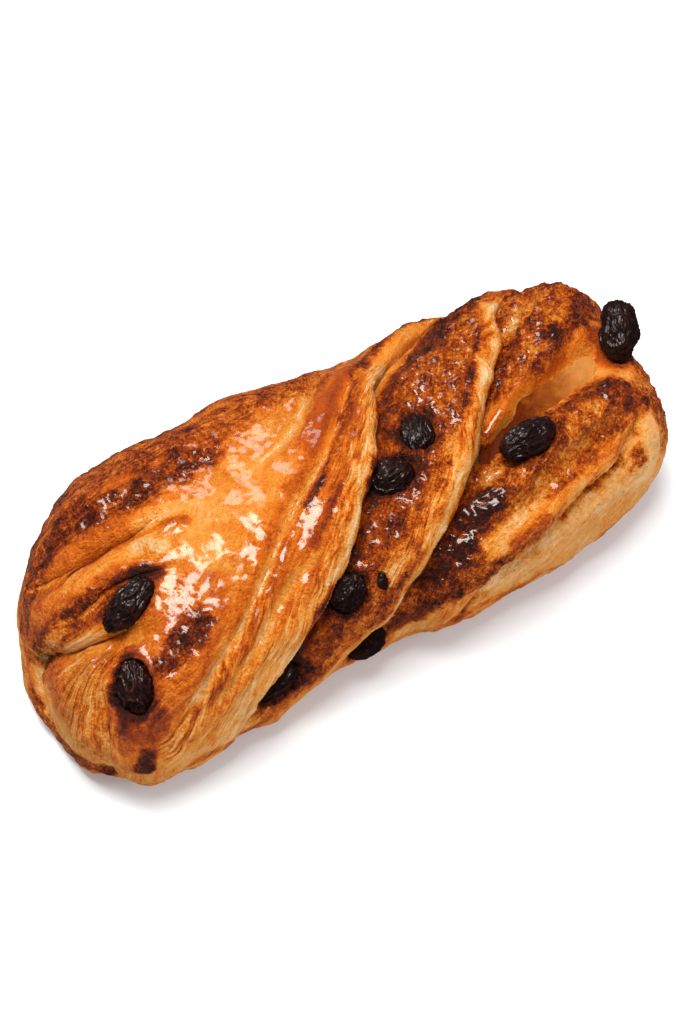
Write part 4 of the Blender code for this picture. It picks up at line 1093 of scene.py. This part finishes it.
def addCamera():
    place, right, up, back, _ = cameraAxes()
    data = bpy.data.cameras.new("camera")
    data.lens = viewpoint["lens"]
    data.sensor_width = viewpoint["sensor"]
    data.clip_start = 0.01
    camera = addObject("camera", data)
    camera.matrix_world = Matrix.Translation(place * mm) @ Matrix((right, up, back)).transposed().to_4x4()
    bpy.context.scene.camera = camera


# Places and sizes in mm, turn about the line of sight in degrees, power in W
lights = {
    "overhead softbox": dict(at=(-110, 130, 900), turn=-28, size=(340, 680), power=11.9,
        colour=(1.0, 0.96, 0.88)),
    "back softbox": dict(at=(300, 560, 640), size=(240, 240), power=1.1, colour=(1.0, 0.98, 0.95)),
    "front fill": dict(at=(640, -600, 400), size=(600, 400), power=3.8, colour=(1, 1, 1), glints=False),
}

lightAim = Vector((0, 0, 20))


def addLight(name, at, size, power, colour, turn=0, glints=True):
    data = bpy.data.lights.new(name, "AREA")
    data.shape = "RECTANGLE"
    data.size, data.size_y = (side * mm for side in size)
    data.energy = power
    data.color = colour
    light = addObject(name, data)
    light.visible_glossy = glints
    light.location = Vector(at) * mm
    turned = Quaternion((0, 0, 1), math.radians(turn))
    light.rotation_euler = ((lightAim - Vector(at)).to_track_quat("-Z", "Y") @ turned).to_euler()


sky = dict(strength=0.4, seenInGloss=0.06, seenByCamera=1.08, colour=(0.93, 0.97, 1.0))


def addSky():
    world = bpy.data.worlds.new("studio white")
    world.use_nodes = True
    tree = world.node_tree
    background = tree.nodes["Background"]
    background.inputs["Color"].default_value = (*sky["colour"], 1)
    ray = addNode(tree, "ShaderNodeLightPath")
    strength = remap(tree, ray.outputs["Is Glossy Ray"], 0.0, 1.0, sky["strength"], sky["seenInGloss"])
    strength = remap(tree, ray.outputs["Is Camera Ray"], 0.0, 1.0, strength, sky["seenByCamera"])
    feed(tree, background.inputs["Strength"], strength)
    bpy.context.scene.world = world


# Size in m, drop in mm below the pastry, glow under it and far away, and between which distances in m
floorFinish = dict(
    size=8.0, drop=0.3, glow=(0.12, 0.74), reach=(0.3, 1.5),
    fixed={"Base Color": (0.78, 0.84, 0.9, 1), "Roughness": 0.8, "Specular IOR Level": 0.1,
           "Emission Strength": 1.0})


def addFloor():
    half = floorFinish["size"] / 2
    corners = [(x * half, y * half, 0) for x, y in ((-1, -1), (1, -1), (1, 1), (-1, 1))]
    mesh = bpy.data.meshes.new("floor")
    mesh.from_pydata(corners, [], [(0, 1, 2, 3)])
    material, tree, shader = newMaterial("white table", floorFinish["fixed"])
    away = addNode(tree, "ShaderNodeVectorMath", operation="LENGTH")
    feed(tree, away.inputs[0], addNode(tree, "ShaderNodeTexCoord").outputs["Object"])
    glow = remap(tree, away.outputs["Value"], *floorFinish["reach"], *floorFinish["glow"])
    feed(tree, shader.inputs["Emission Color"], glow)
    mesh.materials.append(material)
    floorPiece = addObject("floor", mesh)
    floorPiece.location.z = -floorFinish["drop"] * mm
    floorPiece.visible_glossy = False


def main():
    bpy.context.scene.view_settings.view_transform = "Standard"
    addCamera()
    for name, values in lights.items():
        addLight(name, **values)
    addSky()
    addFloor()
    print("studio ready")
    blotches = blotchGroup()
    groups = dict(blotches=blotches, streaks=streakGroup(), film=filmGroup(blotches))
    addPiece("dough_fine", makeDough(), crustMaterial(groups), "dough")
    print("dough folded and painted")
    addPiece("custard_fine", custardMesh(), custardMaterial(groups), "custard")
    skin = raisinMaterial(groups)
    for seed, (name, values) in enumerate(raisins.items()):
        addPiece(name + "_fine", raisinMesh(name, seed=seed, **values), skin, name)
    print("custard and", len(raisins), "raisins laid in")


main()
